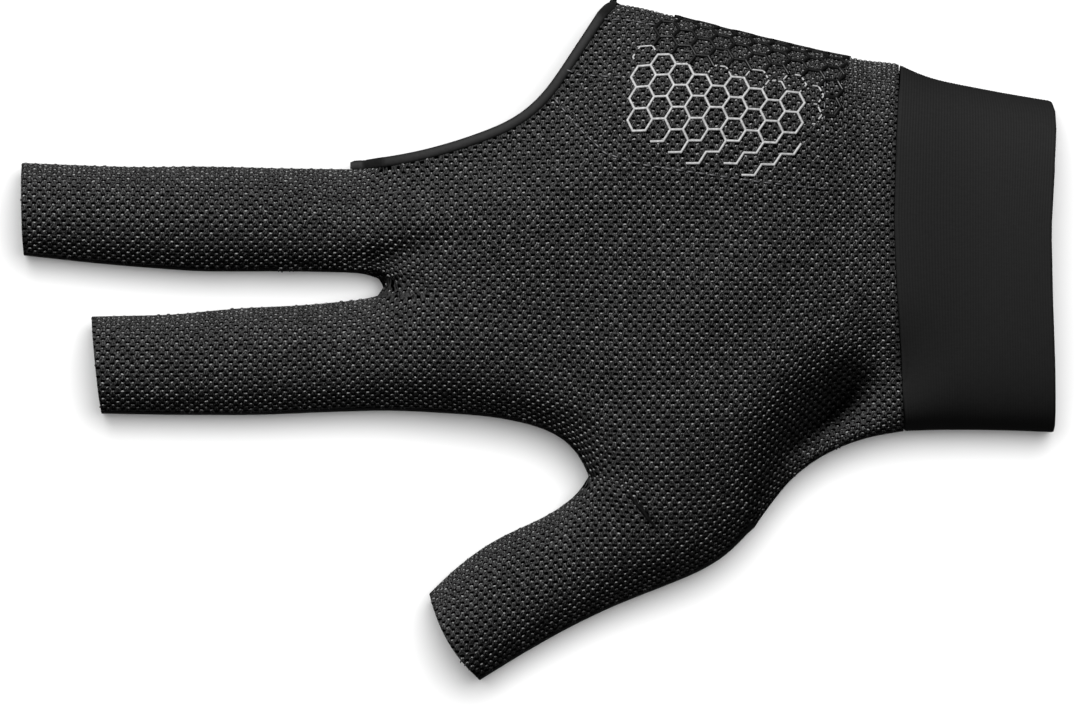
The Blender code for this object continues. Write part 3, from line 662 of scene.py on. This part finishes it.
def knotTree():
    # Lays knots over a part of the cloth, in courses set off by half a pitch, read off the flat pattern.
    tree, given = geometryTree("knitKnots", [
        ("Part", "Int"), ("Pitch", "Float"), ("Course", "Float"), ("Corner", "Vector"), ("Wales", "Int"),
        ("Courses", "Int"), ("Head", "Vector"), ("Leg", "Vector"), ("Apart", "Float"), ("Lift", "Float"),
        ("Twist", "Float"), ("Margin", "Float"), ("Seed", "Int"), ("Yarn", "Material")])
    outer = facesMarked(tree, given["Geometry"], "skin", 1)
    own = facesMarked(tree, given["Geometry"], "part", given["Part"])
    uv = addNode(
        tree, "GeometryNodeInputNamedAttribute", {"Name": "cloth"}, data_type="FLOAT_VECTOR"
    ).outputs["Attribute"]
    # A grid's vertices run up one wale and then the next.
    grid = addNode(
        tree, "GeometryNodeMeshGrid",
        {"Size X": 1.0, "Size Y": 1.0, "Vertices X": given["Wales"], "Vertices Y": given["Courses"]}
    ).outputs["Mesh"]
    index = addNode(tree, "GeometryNodeInputIndex").outputs[0]
    course = addNode(
        tree, "ShaderNodeMath", {0: index, 1: given["Courses"]}, operation="FLOORED_MODULO").outputs[0]
    wale = addNode(tree, "ShaderNodeMath", {0: index, 1: given["Courses"]}, operation="DIVIDE").outputs[0]
    wale = addNode(tree, "ShaderNodeMath", {0: wale}, operation="FLOOR").outputs[0]
    odd = addNode(tree, "ShaderNodeMath", {0: course, 1: 2.0}, operation="FLOORED_MODULO").outputs[0]
    wale = addNode(tree, "ShaderNodeMath", {0: odd, 1: -0.5, 2: wale}, operation="MULTIPLY_ADD").outputs[0]
    steps = addNode(tree, "ShaderNodeCombineXYZ", {0: wale, 1: course}).outputs[0]
    size = addNode(tree, "ShaderNodeCombineXYZ", {0: given["Pitch"], 1: given["Course"]}).outputs[0]
    spot = addNode(
        tree, "ShaderNodeVectorMath", {0: steps, 1: size, 2: given["Corner"]}, operation="MULTIPLY_ADD"
    ).outputs[0]
    kept = addNode(tree, "GeometryNodeStoreNamedAttribute", {"Geometry": grid, "Name": "spot", "Value": spot},
                   data_type="FLOAT_VECTOR", domain="POINT").outputs[0]
    spot = addNode(
        tree, "GeometryNodeInputNamedAttribute", {"Name": "spot"}, data_type="FLOAT_VECTOR"
    ).outputs["Attribute"]
    position = addNode(tree, "GeometryNodeInputPosition").outputs[0]
    normal = addNode(tree, "GeometryNodeInputNormal").outputs[0]
    here = addNode(
        tree, "GeometryNodeSampleUVSurface",
        {"Mesh": own, "Value": position, "UV Map": uv, "Sample UV": spot}, data_type="FLOAT_VECTOR")
    up = addNode(
        tree, "GeometryNodeSampleUVSurface",
        {"Mesh": own, "Value": normal, "UV Map": uv, "Sample UV": spot}, data_type="FLOAT_VECTOR"
    ).outputs["Value"]
    # A knot needs cloth all round it, so that the cut edges stay bare.
    inside = here.outputs["Is Valid"]
    for way in ((1, 0, 0), (-1, 0, 0), (0, -1, 0)):
        beside = addNode(
            tree, "ShaderNodeVectorMath", {0: way, 1: given["Margin"], 2: spot}, operation="MULTIPLY_ADD"
        ).outputs[0]
        edge = addNode(
            tree, "GeometryNodeSampleUVSurface",
            {"Mesh": outer, "Value": position, "UV Map": uv, "Sample UV": beside}, data_type="FLOAT_VECTOR"
        ).outputs["Is Valid"]
        inside = addNode(tree, "FunctionNodeBooleanMath", {0: inside, 1: edge}, operation="AND").outputs[0]
    off = addNode(tree, "FunctionNodeBooleanMath", {0: inside}, operation="NOT").outputs[0]
    for name, value in (("up", up), ("on", here.outputs["Value"])):
        kept = addNode(
            tree, "GeometryNodeStoreNamedAttribute", {"Geometry": kept, "Name": name, "Value": value},
            data_type="FLOAT_VECTOR", domain="POINT").outputs[0]
    kept = addNode(
        tree, "GeometryNodeDeleteGeometry", {"Geometry": kept, "Selection": off}, domain="POINT").outputs[0]
    up, on = (
        addNode(tree, "GeometryNodeInputNamedAttribute", {"Name": name}, data_type="FLOAT_VECTOR"
                ).outputs["Attribute"] for name in ("up", "on"))
    raised = addNode(
        tree, "ShaderNodeVectorMath", {0: up, "Scale": given["Lift"]}, operation="SCALE").outputs[0]
    raised = addNode(tree, "ShaderNodeVectorMath", {0: on, 1: raised}, operation="ADD").outputs[0]
    points = addNode(tree, "GeometryNodeMeshToPoints", {"Mesh": kept, "Position": raised}).outputs[0]
    # The grain runs along the arm everywhere.
    turn = addNode(tree, "FunctionNodeAlignRotationToVector", {"Vector": up}, axis="Z").outputs[0]
    turn = addNode(
        tree, "FunctionNodeAlignRotationToVector", {"Rotation": turn, "Vector": (1, 0, 0)},
        axis="X", pivot_axis="Z").outputs[0]
    half = addNode(tree, "ShaderNodeMath", {0: given["Apart"], 1: 0.5}, operation="MULTIPLY").outputs[0]
    left = addNode(tree, "ShaderNodeMath", {0: half, 1: -1.0}, operation="MULTIPLY").outputs[0]
    ball = addNode(tree, "GeometryNodeMeshIcoSphere", {"Radius": 0.5, "Subdivisions": 1}).outputs["Mesh"]
    whole = tree.nodes.new("GeometryNodeJoinGeometry")
    # A tight loop painted pale as lit, and the two strands painted dark as shaded, that slope down from it to
    # the gap.
    head = addNode(
        tree, "GeometryNodeTransform",
        {"Geometry": ball, "Translation": (0, 0.05 * mm, 0.08 * mm), "Scale": given["Head"]}).outputs[0]
    head = addNode(
        tree, "GeometryNodeStoreNamedAttribute", {"Geometry": head, "Name": "paleness", "Value": 1.0},
        data_type="FLOAT", domain="POINT").outputs[0]
    tree.links.new(head, whole.inputs[0])
    for side, tilt in ((half, 0.22), (left, -0.22)):
        place = addNode(tree, "ShaderNodeCombineXYZ", {0: side, 1: -0.5 * mm, 2: -0.02 * mm}).outputs[0]
        leg = addNode(
            tree, "GeometryNodeTransform",
            {"Geometry": ball, "Translation": place, "Rotation": (0.12, 0, tilt), "Scale": given["Leg"]}
        ).outputs[0]
        # The strands take painted shade: their mark is zero, the head's painted light one.
        leg = addNode(
            tree, "GeometryNodeStoreNamedAttribute", {"Geometry": leg, "Name": "paleness", "Value": 0.0},
            data_type="FLOAT", domain="POINT").outputs[0]
        tree.links.new(leg, whole.inputs[0])
    grow = addNode(
        tree, "FunctionNodeRandomValue", {2: 0.76, 3: 1.18, "Seed": given["Seed"]}, data_type="FLOAT"
    ).outputs[1]
    knots = addNode(
        tree, "GeometryNodeInstanceOnPoints",
        {"Points": points, "Instance": whole.outputs[0], "Rotation": turn, "Scale": grow}).outputs[0]
    other = addNode(tree, "ShaderNodeMath", {0: given["Seed"], 1: 1.0}, operation="ADD").outputs[0]
    back = addNode(tree, "ShaderNodeMath", {0: given["Twist"], 1: -1.0}, operation="MULTIPLY").outputs[0]
    askew = addNode(
        tree, "FunctionNodeRandomValue", {2: back, 3: given["Twist"], "Seed": other}, data_type="FLOAT"
    ).outputs[1]
    askew = addNode(tree, "ShaderNodeCombineXYZ", {2: askew}).outputs[0]
    knots = addNode(tree, "GeometryNodeRotateInstances", {"Instances": knots, "Rotation": askew}).outputs[0]
    real = addNode(tree, "GeometryNodeRealizeInstances", {"Geometry": knots}).outputs[0]
    soft = addNode(tree, "GeometryNodeSetShadeSmooth", {"Geometry": real}).outputs[0]
    done = addNode(tree, "GeometryNodeSetMaterial", {"Geometry": soft, "Material": given["Yarn"]}).outputs[0]
    addNode(tree, "NodeGroupOutput", {0: done})
    return tree


def onTable(piece):
    # Nothing reaches through the table.
    points = np.array([v.co for v in piece.data.vertices])
    points[:, 2] = np.maximum(points[:, 2], 0.01 * mm)
    piece.data.vertices.foreach_set("co", points.ravel())
    piece.data.update()
    return piece


def knotPieces():
    # One piece for each part of the cloth, so that none gets too many triangles.
    tree = knotTree()
    mesh = palmPanel.data
    mesh.attributes.new("part", "INT", "FACE")
    skin = np.array([value.value for value in mesh.attributes["skin"].data])
    centres = np.array([p.center for p in mesh.polygons])
    parts = np.zeros(len(skin), dtype=int)
    for number, (_, x0, x1, y0, y1) in enumerate(knot["parts"], 1):
        low, high = fromPhoto(x0, y1), fromPhoto(x1, y0)
        inside = np.all((centres[:, :2] >= low) & (centres[:, :2] < high), axis=1)
        parts[inside & (skin == 1)] = number
    mesh.attributes["part"].data.foreach_set("value", parts)
    uvs = np.array([value.uv for value in mesh.uv_layers["cloth"].data])
    loopPart = np.repeat(parts, [p.loop_total for p in mesh.polygons])
    step = np.array((knit["pitch"], 2 * knit["course"]))
    for number, (name, *_) in enumerate(knot["parts"], 1):
        own = uvs[loopPart == number]
        first = np.floor(own.min(axis=0) / step).astype(int)
        last = np.ceil(own.max(axis=0) / step).astype(int)
        piece = grown(palmPanel, tree, {
            "Part": number, "Pitch": knit["pitch"], "Course": knit["course"],
            "Corner": (float(first[0] * step[0]), float(first[1] * step[1]), 0.0),
            "Wales": int(last[0] - first[0] + 2), "Courses": int(2 * (last[1] - first[1] + 1)),
            "Head": knot["head"], "Leg": knot["leg"], "Apart": knot["apart"], "Lift": knot["lift"],
            "Twist": knot["twist"], "Margin": knot["margin"], "Seed": knot["seed"], "Yarn": materials["knot"],
        }, name)
        dressed(onTable(piece), None, "palm_mesh")
        print(" ", name, len(piece.data.polygons), "faces")


knotPieces()
print("knots made")

# The wrist cuff

cuff = {
    "rib": 0.55 * mm,          # from rib to rib along the band
    "ribHeight": 0.028 * mm,
    "stepsPerRib": 4,
    "around": 150,
    "ribEnd": 0.4 * mm,        # the length over which the ribs run out at the open end
    "seamRoll": 1.0 * mm,      # where the band rolls into the wrist seam
    "endRoll": 0.5 * mm,       # and over at its open end
    "rollDepth": 0.35 * mm,
    "tuck": 1.3 * mm,          # how far its sewn end goes on under the panels' edges
    "tuckDepth": 0.4 * mm,
    "base": 0.3 * mm,          # the height under which the band has no ribs, as it lies flat there
    "baseFade": 1.5 * mm,
    "inset": 0.02 * mm,        # how far inside the CAD band's ends its skins are first read
}


def ribbedCuff():
    # The CAD cuff's skins, read round it at each step along the arm, with the ribs raised on the outer one.
    rough = weldedPanel("wrist_cuff", "cuffRough")
    smoothed(rough, 2)
    mesh = rough.data
    skin = [value.value for value in mesh.attributes["skin"].data]
    points = [v.co.copy() for v in mesh.vertices]
    trees = [BVHTree.FromPolygons(points, [list(p.vertices) for p in mesh.polygons if skin[p.index] == n])
             for n in (1, 2)]
    low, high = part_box("wrist_cuff")
    steps = round((high[0] - low[0]) / cuff["rib"]) * cuff["stepsPerRib"]
    rings = []
    inset = cuff["inset"]
    for i in range(steps + 1):
        x = low[0] + inset + (high[0] - low[0] - 2 * inset) * i / steps
        fromSeam, fromEnd = x - low[0], high[0] - x
        phase = 2 * math.pi * fromSeam / cuff["rib"]
        lift = cuff["ribHeight"] * math.cos(phase) * min(1.0, fromEnd / cuff["ribEnd"])
        for along, roll in ((fromSeam, cuff["seamRoll"]), (fromEnd, cuff["endRoll"])):
            lift -= cuff["rollDepth"] * max(0.0, 1 - along / roll) ** 2
        middle = Vector((x, (low[1] + high[1]) / 2, (low[2] + high[2]) / 2 - 1 * mm))
        rings.append((middle, lift))
    rings.insert(0, (rings[0][0], rings[0][1] - cuff["tuckDepth"]))
    around = cuff["around"]
    half = (high[1] - low[1]) / 2, (high[2] - low[2]) / 2
    vertices = []
    for surface in (0, 1):
        for i, (middle, lift) in enumerate(rings):
            for k in range(around):
                turn = 2 * math.pi * k / around
                way = Vector((0, math.cos(turn) * half[0], math.sin(turn) * half[1])).normalized()
                if surface == 0:
                    hit, normal, _, _ = trees[0].ray_cast(middle + way * 0.2, -way)
                else:
                    hit, normal, _, _ = trees[1].ray_cast(middle, way)
                if hit is None:
                    hit, normal, _, _ = trees[surface].find_nearest(middle + way * 0.03)
                share = min(1.0, max(0.0, (hit.z - cuff["base"]) / cuff["baseFade"])) if i else 1.0
                place = hit + (normal * lift * share if surface == 0 else Vector())
                vertices.append(place if i else place - Vector((cuff["tuck"], 0, 0)))
    ringCount = len(rings)
    faces = []
    for surface in (0, 1):
        base = surface * ringCount * around
        for i in range(ringCount - 1):
            for k in range(around):
                a, b = base + i * around + k, base + i * around + (k + 1) % around
                quad = (a, b, b + around, a + around)
                faces.append(quad if surface == 0 else quad[::-1])
    for i in (0, ringCount - 1):
        for k in range(around):
            a, b = i * around + k, i * around + (k + 1) % around
            c, d = a + ringCount * around, b + ringCount * around
            faces.append((b, a, c, d) if i == 0 else (a, b, d, c))
    bpy.data.objects.remove(rough)
    return closedForm("cuffElastic", pulled(np.array(vertices)), faces)


cuffBand = dressed(ribbedCuff(), materials["elastic"], "cuff_band", "wrist_cuff")
print("cuff made:", len(cuffBand.data.polygons), "faces")

# The folded tape on both lips of the open side

tape = {
    "width": 2.2 * mm,
    "overlap": 0.2 * mm,       # how far it reaches over the cloth's edge
    "thickness": 1.9 * mm,
    "proud": 0.4 * mm,
    "sides": 16,
    "step": 0.8 * mm,
    # Pixels of the photo; the back lip starts further on, where the palm's still hides it.
    "start": (353, 170), "backStart": (380, 168), "end": (617, 4), "via": (500, 125), "inside": (520, 320),
    "droop": -0.3,
    "backWidth": 1.5 * mm,
    "ending": 6 * mm,          # the length over which it is drawn in at its end
    "drawnIn": 0.8,            # by this share of its width
    "corners": 0.6,            # the power that makes its oval full, where 1 is an ellipse
    "ends": (0.75, 0.6),       # the share of its size at its start and end
    "growth": 20,              # how fast it reaches its full size from them
}


def lipTape(name, cloth, start, width, droop, proud):
    stretch = cloth.rimStretch(fromPhoto(*start), fromPhoto(*tape["end"]), fromPhoto(*tape["via"]))
    path, normals, outs = evenly(stretch, tape["step"])
    # The tape stands out from the lip's outline all along, drooping a little, whichever way the cloth turns.
    inside = Vector((*fromPhoto(*tape["inside"]), 0))
    for i, point in enumerate(path):
        along = path[min(i + 1, len(path) - 1)] - path[max(i - 1, 0)]
        out = Vector((along.y, -along.x, 0)).normalized()
        if out.dot(point - inside) < 0:
            out.negate()
        outs[i] = (out + Vector((0, 0, droop))).normalized()
        normals[i] = along.cross(outs[i]).normalized()
        if normals[i].z < 0:
            normals[i].negate()
    # It ends on the cloth's corner, not beyond it.
    for i in range(len(path)):
        late = max(0.0, 1 - (len(path) - 1 - i) * tape["step"] / tape["ending"])
        path[i] = path[i] - outs[i] * (width * tape["drawnIn"] * late * late)
    # A folded tape is a flat oval with full corners.
    profile = []
    thick = tape["thickness"]
    for k in range(tape["sides"]):
        turn = 2 * math.pi * k / tape["sides"]
        c, s = (math.copysign(abs(v) ** tape["corners"], v) for v in (math.cos(turn), math.sin(turn)))
        profile.append((width / 2 * c + width / 2 - tape["overlap"], thick / 2 * s + proud - thick / 2))
    (first, last), growth = tape["ends"], tape["growth"]
    return sweep(
        name, path, normals, outs, profile, lambda t: min(1.0, first + growth * t, last + growth * (1 - t)))


palmTape = lipTape("palmTape", palmCloth, tape["start"], tape["width"], tape["droop"], tape["proud"])
dressed(palmTape, materials["tape"], "binding_tape", "palm_binding")
# The back lip's tape lies narrower and level under the palm's, so it keeps out of sight from above.
backTape = lipTape("backTape", backCloth, tape["backStart"], tape["backWidth"], 0.0, tape["thickness"])
dressed(backTape, materials["tape"], "binding_tape", "back_binding")
print("tapes made")

# The seams that close the narrow gaps between the cut pieces

seam = {
    "radius": 0.42 * mm,
    "sunk": 0.42 * mm,         # how far its middle lies under the cloth's face
    "sides": 8,
    "step": 1.2 * mm,
    "gap": 1.5 * mm,           # the widest gap between the two cloths that a seam closes
    # The dart at the thumb's root, a pinched line painted dark as its shade, in pixels of the photo.
    "dart": [(622, 485), (632, 497), (642, 510), (649, 519), (657, 530)],
    "dartSize": 1.2,           # times the seams' radius
    "runs": [
        # where on the photo each seam starts and ends, and a place on its way
        ("middleOuterSeam", (18, 163), (352, 172), (180, 165)),
        ("crotchSeam", (22, 259), (92, 317), (383, 291)),
        ("webSeam", (101, 414), (430, 605), (590, 480)),
        ("thumbSeam", (483, 682), (893, 428), (740, 540)),
        ("heelSeam", (622, 4), (893, 66), (760, 40)),
    ],
}


def seamRolls():
    # Each follows the palm's rim, half way to the back's, sunk between the two cloths.
    backRim = [spot[0] for spot in backCloth.loop]
    tree = KDTree(len(backRim))
    for i, point in enumerate(backRim):
        tree.insert(point, i)
    tree.balance()
    ring = [(seam["radius"] * math.cos(2 * math.pi * k / seam["sides"]),
             seam["radius"] * math.sin(2 * math.pi * k / seam["sides"])) for k in range(seam["sides"])]
    joined = bmesh.new()
    for name, start, end, via in seam["runs"]:
        rows = []
        for point, normal, out in palmCloth.rimStretch(fromPhoto(*start), fromPhoto(*end), fromPhoto(*via)):
            near, _, gap = tree.find(point)
            if gap < seam["gap"]:
                rows.append(((point + near) / 2 - normal * seam["sunk"], normal, out))
        path, normals, outs = evenly(rows, seam["step"])
        roll = sweep(name, path, normals, outs, ring)
        joined.from_mesh(roll.data)
        bpy.data.objects.remove(roll)
        print(f"  {name}: {len(path)} steps")
    dart = evenly([(Vector((*fromPhoto(*spot), 0)),) for spot in seam["dart"]], seam["step"])[0]
    laid = [palmCloth.below(spot.x, spot.y) for spot in dart]
    path = [row[0] for row in laid]
    outs = [normal.cross(path[-1] - path[0]).normalized() for _, normal, _ in laid]
    roll = sweep("thumbDart", path, [row[1] for row in laid], outs, ring,
                 lambda t: seam["dartSize"] * math.sqrt(max(0.02, 4 * t * (1 - t))))
    joined.from_mesh(roll.data)
    bpy.data.objects.remove(roll)
    mesh = bpy.data.meshes.new("seamRolls")
    joined.to_mesh(mesh)
    joined.free()
    mesh.shade_smooth()
    return newObject("seamRolls", mesh)


dressed(seamRolls(), materials["seamTape"], "back_cloth")
print("seams made")

# The honeycomb grip

grip = {
    "side": 2.57 * mm,
    "lean": 0.09,               # how far a column leans along the arm, for its height
    "rise": 0.03,               # how far a row climbs, for its length
    "anchor": (639.5, 121.5),   # pixel of the first column's lowest cell
    "line": 0.27 * mm,          # half the width of a printed line
    "thin": 0.7,                # the share of that where the print is worn
    "left": 0.6,                # the share of a worn line that is still there
    "blackLine": 0.36 * mm,
    "lift": 0.22 * mm,          # how far a line's middle stands off the cloth, over the knots
    "seed": 5,
    "columns": [
        # From a column's foot: rows of which two sides alone are printed, the first and last whole silver
        # rows, the last worn silver row and the last black row.
        ([], 0, 2, 3, 3), ([0], 1, 3, 3, 5), ([-1], 0, 2, 2, 7), ([-1], 0, 2, 2, 8),
        ([-1], 0, 1, 2, 8), ([-1], 0, 2, 2, 8), ([-2, -1], 0, 1, 2, 8), ([-1], 0, 1, 2, 8),
        ([-1], 0, 1, 2, 8), ([], 1, 0, 2, 8), ([], 1, 0, 0, 7),
    ],
}


def gripLinesFlat():
    # The honeycomb in the flat pattern: each line's ends, whether it is silver, and its share of the width.
    _, _, start = palmCloth.below(*fromPhoto(*grip["anchor"]))
    side, pitch = grip["side"], math.sqrt(3) * grip["side"]
    cells = []
    for column, (feet, first, whole, worn, last) in enumerate(grip["columns"]):
        cells += [(0, column, row) for row in range(first, whole + 1)]
        cells += [(1, column, row) for row in feet]
        cells += [(2, column, row) for row in range(whole + 1, worn + 1)]
        cells += [(3, column, row) for row in range(max(whole, worn) + 1, last + 1)]
    chance = np.random.default_rng(grip["seed"])
    drawn, lines = set(), []
    # Where cells share a side, the fuller one's line is the one that shows.
    for kind, column, row in sorted(cells):
        a, b = 1.5 * side * column, (row - 0.5 * (column % 2)) * pitch
        ring = []
        for k in range(7):
            turn = math.radians(60 * k)
            c, d = a + side * math.cos(turn), b + side * math.sin(turn)
            ring.append(np.array((start.x + c + grip["lean"] * d, start.y + d + grip["rise"] * c)))
        for k in ((4, 5) if kind == 1 else range(6)):
            one, two = ring[k], ring[k + 1]
            key = tuple(np.round((one + two) / mm, 2))
            if key in drawn:
                continue
            drawn.add(key)
            over = (two - one) * 0.04
            if kind == 2:
                for j in range(4):
                    if chance.random() < grip["left"]:
                        ends = [one + (two - one) * m / 4 for m in (j, j + 1)]
                        lines.append((*ends, True, grip["thin"]))
            else:
                lines.append((one - over, two + over, kind < 2, 1.0))
    return lines


def lineTree():
    # Lays a flat net of edges on the cloth and gives each edge a round printed bead.
    tree, given = geometryTree("printedLines", [
        ("Cloth", "Object"), ("Half Width", "Float"), ("Lift", "Float"), ("Print", "Material")])
    cloth = addNode(tree, "GeometryNodeObjectInfo", {"Object": given["Cloth"]}, transform_space="ORIGINAL")
    outer = facesMarked(tree, cloth.outputs["Geometry"], "skin", 1)
    uv = addNode(
        tree, "GeometryNodeInputNamedAttribute", {"Name": "cloth"}, data_type="FLOAT_VECTOR"
    ).outputs["Attribute"]
    position = addNode(tree, "GeometryNodeInputPosition").outputs[0]
    normal = addNode(tree, "GeometryNodeInputNormal").outputs[0]
    split = addNode(tree, "GeometryNodeSubdivideMesh", {"Mesh": given["Geometry"], "Level": 2}).outputs[0]
    here = addNode(
        tree, "GeometryNodeSampleUVSurface",
        {"Mesh": outer, "Value": position, "UV Map": uv, "Sample UV": position}, data_type="FLOAT_VECTOR")
    up = addNode(
        tree, "GeometryNodeSampleUVSurface",
        {"Mesh": outer, "Value": normal, "UV Map": uv, "Sample UV": position}, data_type="FLOAT_VECTOR"
    ).outputs["Value"]
    raised = addNode(
        tree, "ShaderNodeVectorMath", {0: up, "Scale": given["Lift"]}, operation="SCALE").outputs[0]
    raised = addNode(
        tree, "ShaderNodeVectorMath", {0: here.outputs["Value"], 1: raised}, operation="ADD").outputs[0]
    laid = addNode(tree, "GeometryNodeSetPosition", {"Geometry": split, "Position": raised}).outputs[0]
    # What misses the cloth has gone to the origin, far below the grip.
    height = addNode(tree, "ShaderNodeSeparateXYZ", {0: position}).outputs["Z"]
    lost = addNode(
        tree, "FunctionNodeCompare", {0: height, 1: 0.2 * mm}, data_type="FLOAT", operation="LESS_THAN"
    ).outputs[0]
    laid = addNode(
        tree, "GeometryNodeDeleteGeometry", {"Geometry": laid, "Selection": lost}, domain="POINT").outputs[0]
    curve = addNode(tree, "GeometryNodeMeshToCurve", {"Mesh": laid}).outputs[0]
    width = addNode(
        tree, "GeometryNodeInputNamedAttribute", {"Name": "width"}, data_type="FLOAT").outputs["Attribute"]
    radius = addNode(
        tree, "ShaderNodeMath", {0: width, 1: given["Half Width"]}, operation="MULTIPLY").outputs[0]
    curve = addNode(tree, "GeometryNodeSetCurveRadius", {"Curve": curve, "Radius": radius}).outputs[0]
    ring = addNode(tree, "GeometryNodeCurvePrimitiveCircle", {"Resolution": 8, "Radius": 1.0}).outputs[0]
    bead = addNode(
        tree, "GeometryNodeCurveToMesh", {"Curve": curve, "Profile Curve": ring, "Fill Caps": True})
    if "Scale" in bead.inputs:
        tree.links.new(radius, bead.inputs["Scale"])
    soft = addNode(tree, "GeometryNodeSetShadeSmooth", {"Geometry": bead.outputs[0]}).outputs[0]
    real = addNode(tree, "GeometryNodeRealizeInstances", {"Geometry": soft}).outputs[0]
    done = addNode(tree, "GeometryNodeSetMaterial", {"Geometry": real, "Material": given["Print"]}).outputs[0]
    addNode(tree, "NodeGroupOutput", {0: done})
    return tree


def gripPieces():
    tree = lineTree()
    lines = gripLinesFlat()
    for name, material, silver, line in (
            ("silverGrip", "silver", True, grip["line"]), ("blackGrip", "black", False, grip["blackLine"])):
        chosen = [row for row in lines if row[2] == silver]
        points = [(*end, 0) for row in chosen for end in row[:2]]
        mesh = meshFrom(name + "Flat", points, [], [(2 * i, 2 * i + 1) for i in range(len(chosen))])
        widths = [row[3] for row in chosen for _ in (0, 1)]
        mesh.attributes.new("width", "FLOAT", "POINT").data.foreach_set("value", widths)
        flat = newObject(name + "Flat", mesh)
        piece = grown(flat, tree, {
            "Cloth": palmPanel, "Half Width": line, "Lift": grip["lift"], "Print": materials[material]}, name)
        bpy.data.objects.remove(flat)
        dressed(onTable(piece), None, "grip_print", *(["grip_honeycomb"] if silver else []))
        print(" ", name, len(piece.data.polygons), "faces")


gripPieces()
print("grip made")

# The lines of stitches

stitch = {
    "pitch": 2.2 * mm,
    "size": (1.6 * mm, 0.40 * mm, 0.34 * mm),
    "lift": 0.24 * mm,
    "step": 0.8 * mm,
    "lines": [
        # pixels of the photo along each line
        [(557, 103), (580, 131), (605, 155), (640, 166), (680, 172), (763, 184), (820, 190)],
        [(824, 62), (823, 95), (822, 130)],
        [(605, 20), (628, 22), (651, 26)],
        [(565, 75), (590, 77), (617, 79)],
    ],
}


def stitchTree():
    # Sets a stitch every pitch along each line.
    tree, given = geometryTree("stitches", [("Pitch", "Float"), ("Size", "Vector"), ("Thread", "Material")])
    curve = addNode(tree, "GeometryNodeMeshToCurve", {"Mesh": given["Geometry"]}).outputs[0]
    spaced = addNode(
        tree, "GeometryNodeResampleCurve", {"Curve": curve, "Length": given["Pitch"]}, mode="LENGTH")
    tangent = addNode(tree, "GeometryNodeInputTangent").outputs[0]
    turn = addNode(tree, "FunctionNodeAlignRotationToVector", {"Vector": tangent}, axis="X").outputs[0]
    ball = addNode(tree, "GeometryNodeMeshIcoSphere", {"Radius": 0.5, "Subdivisions": 2}).outputs["Mesh"]
    rows = addNode(
        tree, "GeometryNodeInstanceOnPoints",
        {"Points": spaced.outputs[0], "Instance": ball, "Rotation": turn, "Scale": given["Size"]}).outputs[0]
    real = addNode(tree, "GeometryNodeRealizeInstances", {"Geometry": rows}).outputs[0]
    soft = addNode(tree, "GeometryNodeSetShadeSmooth", {"Geometry": real}).outputs[0]
    done = addNode(
        tree, "GeometryNodeSetMaterial", {"Geometry": soft, "Material": given["Thread"]}).outputs[0]
    addNode(tree, "NodeGroupOutput", {0: done})
    return tree


def stitchPiece():
    points, edges = [], []
    for line in stitch["lines"]:
        path, = evenly([(Vector((*fromPhoto(*spot), 0)),) for spot in line], stitch["step"])
        for i, place in enumerate(path):
            spot, normal, _ = palmCloth.below(place.x, place.y)
            if i:
                edges.append((len(points) - 1, len(points)))
            points.append(spot + normal * stitch["lift"])
    flat = newObject("stitchLines", meshFrom("stitchLines", points, [], edges))
    piece = grown(flat, stitchTree(), {
        "Pitch": stitch["pitch"], "Size": stitch["size"], "Thread": materials["thread"]}, "stitches")
    bpy.data.objects.remove(flat)
    return dressed(piece, None, "palm_mesh")


stitches = stitchPiece()
print("stitches made:", len(stitches.data.polygons), "faces")

# Floor, light and camera

stage = {
    "floor": "#e6e6e6",
    "camera": 2.5,             # metres above the glove, as the photo shows the fingers' ends straight
    "focusHeight": 8 * mm,     # the height at which the photo's scale holds
    "fill": 0.065,
    "lamps": [
        # name, place, size, power, and whether it lights the table or the glove
        ("key", (-0.36, 0.84, 0.93), 0.50, 34.0, "EXCLUDE"),
        ("sideLamp", (0.50, -1.50, 0.30), 1.4, 4.0, "EXCLUDE"),
        ("tableLamp", (0.10, 0.5, 1.6), 1.7, 55.0, "INCLUDE"),
    ],
}


def studio():
    material, _, shader = newMaterial("paleFloor", 0.9, 0.1)
    shader.inputs["Base Color"].default_value = linearColour(stage["floor"])
    reach = 3.0
    corners = [(-reach, -reach, 0), (reach, -reach, 0), (reach, reach, 0), (-reach, reach, 0)]
    floor = newObject("floor", meshFrom("floor", corners, [(0, 1, 2, 3)]))
    floor.data.materials.append(material)
    # The product stands on a lit table: the table has a lamp of its own and throws no light back.
    floor.visible_diffuse = floor.visible_glossy = False
    for name, place, size, power, table in stage["lamps"]:
        light = bpy.data.lights.new(name, "AREA")
        light.shape = "DISK"
        light.size = size
        light.energy = power
        lamp = bpy.data.objects.new(name, light)
        lamp.location = place
        lamp.rotation_euler = (-Vector(place)).to_track_quat("-Z", "Y").to_euler()
        receivers = bpy.data.collections.new(name + "Receivers")
        receivers.objects.link(floor)
        receivers.collection_objects[0].light_linking.link_state = table
        lamp.light_linking.receiver_collection = receivers
        bpy.context.scene.collection.objects.link(lamp)
    world = bpy.data.worlds.new("softbox")
    world.use_nodes = True
    background = world.node_tree.nodes["Background"]
    background.inputs["Color"].default_value = (1, 1, 1, 1)
    background.inputs["Strength"].default_value = stage["fill"]
    bpy.context.scene.world = world
    bpy.context.scene.view_settings.view_transform = "Standard"


def photoCamera():
    # Straight down on the palm, with the photo's scale at the glove's side folds.
    data = bpy.data.cameras.new("camera")
    wide = photo["size"][0] * photo["metresPerPixel"]
    data.sensor_width = 36
    data.lens = data.sensor_width * stage["camera"] / wide
    data.clip_start, data.clip_end = 0.01, 20
    camera = bpy.data.objects.new("camera", data)
    x, y = fromPhoto(photo["size"][0] / 2, photo["size"][1] / 2)
    camera.location = (x, y, stage["focusHeight"] + stage["camera"])
    bpy.context.scene.collection.objects.link(camera)
    bpy.context.scene.camera = camera


studio()
photoCamera()
print("stage made")
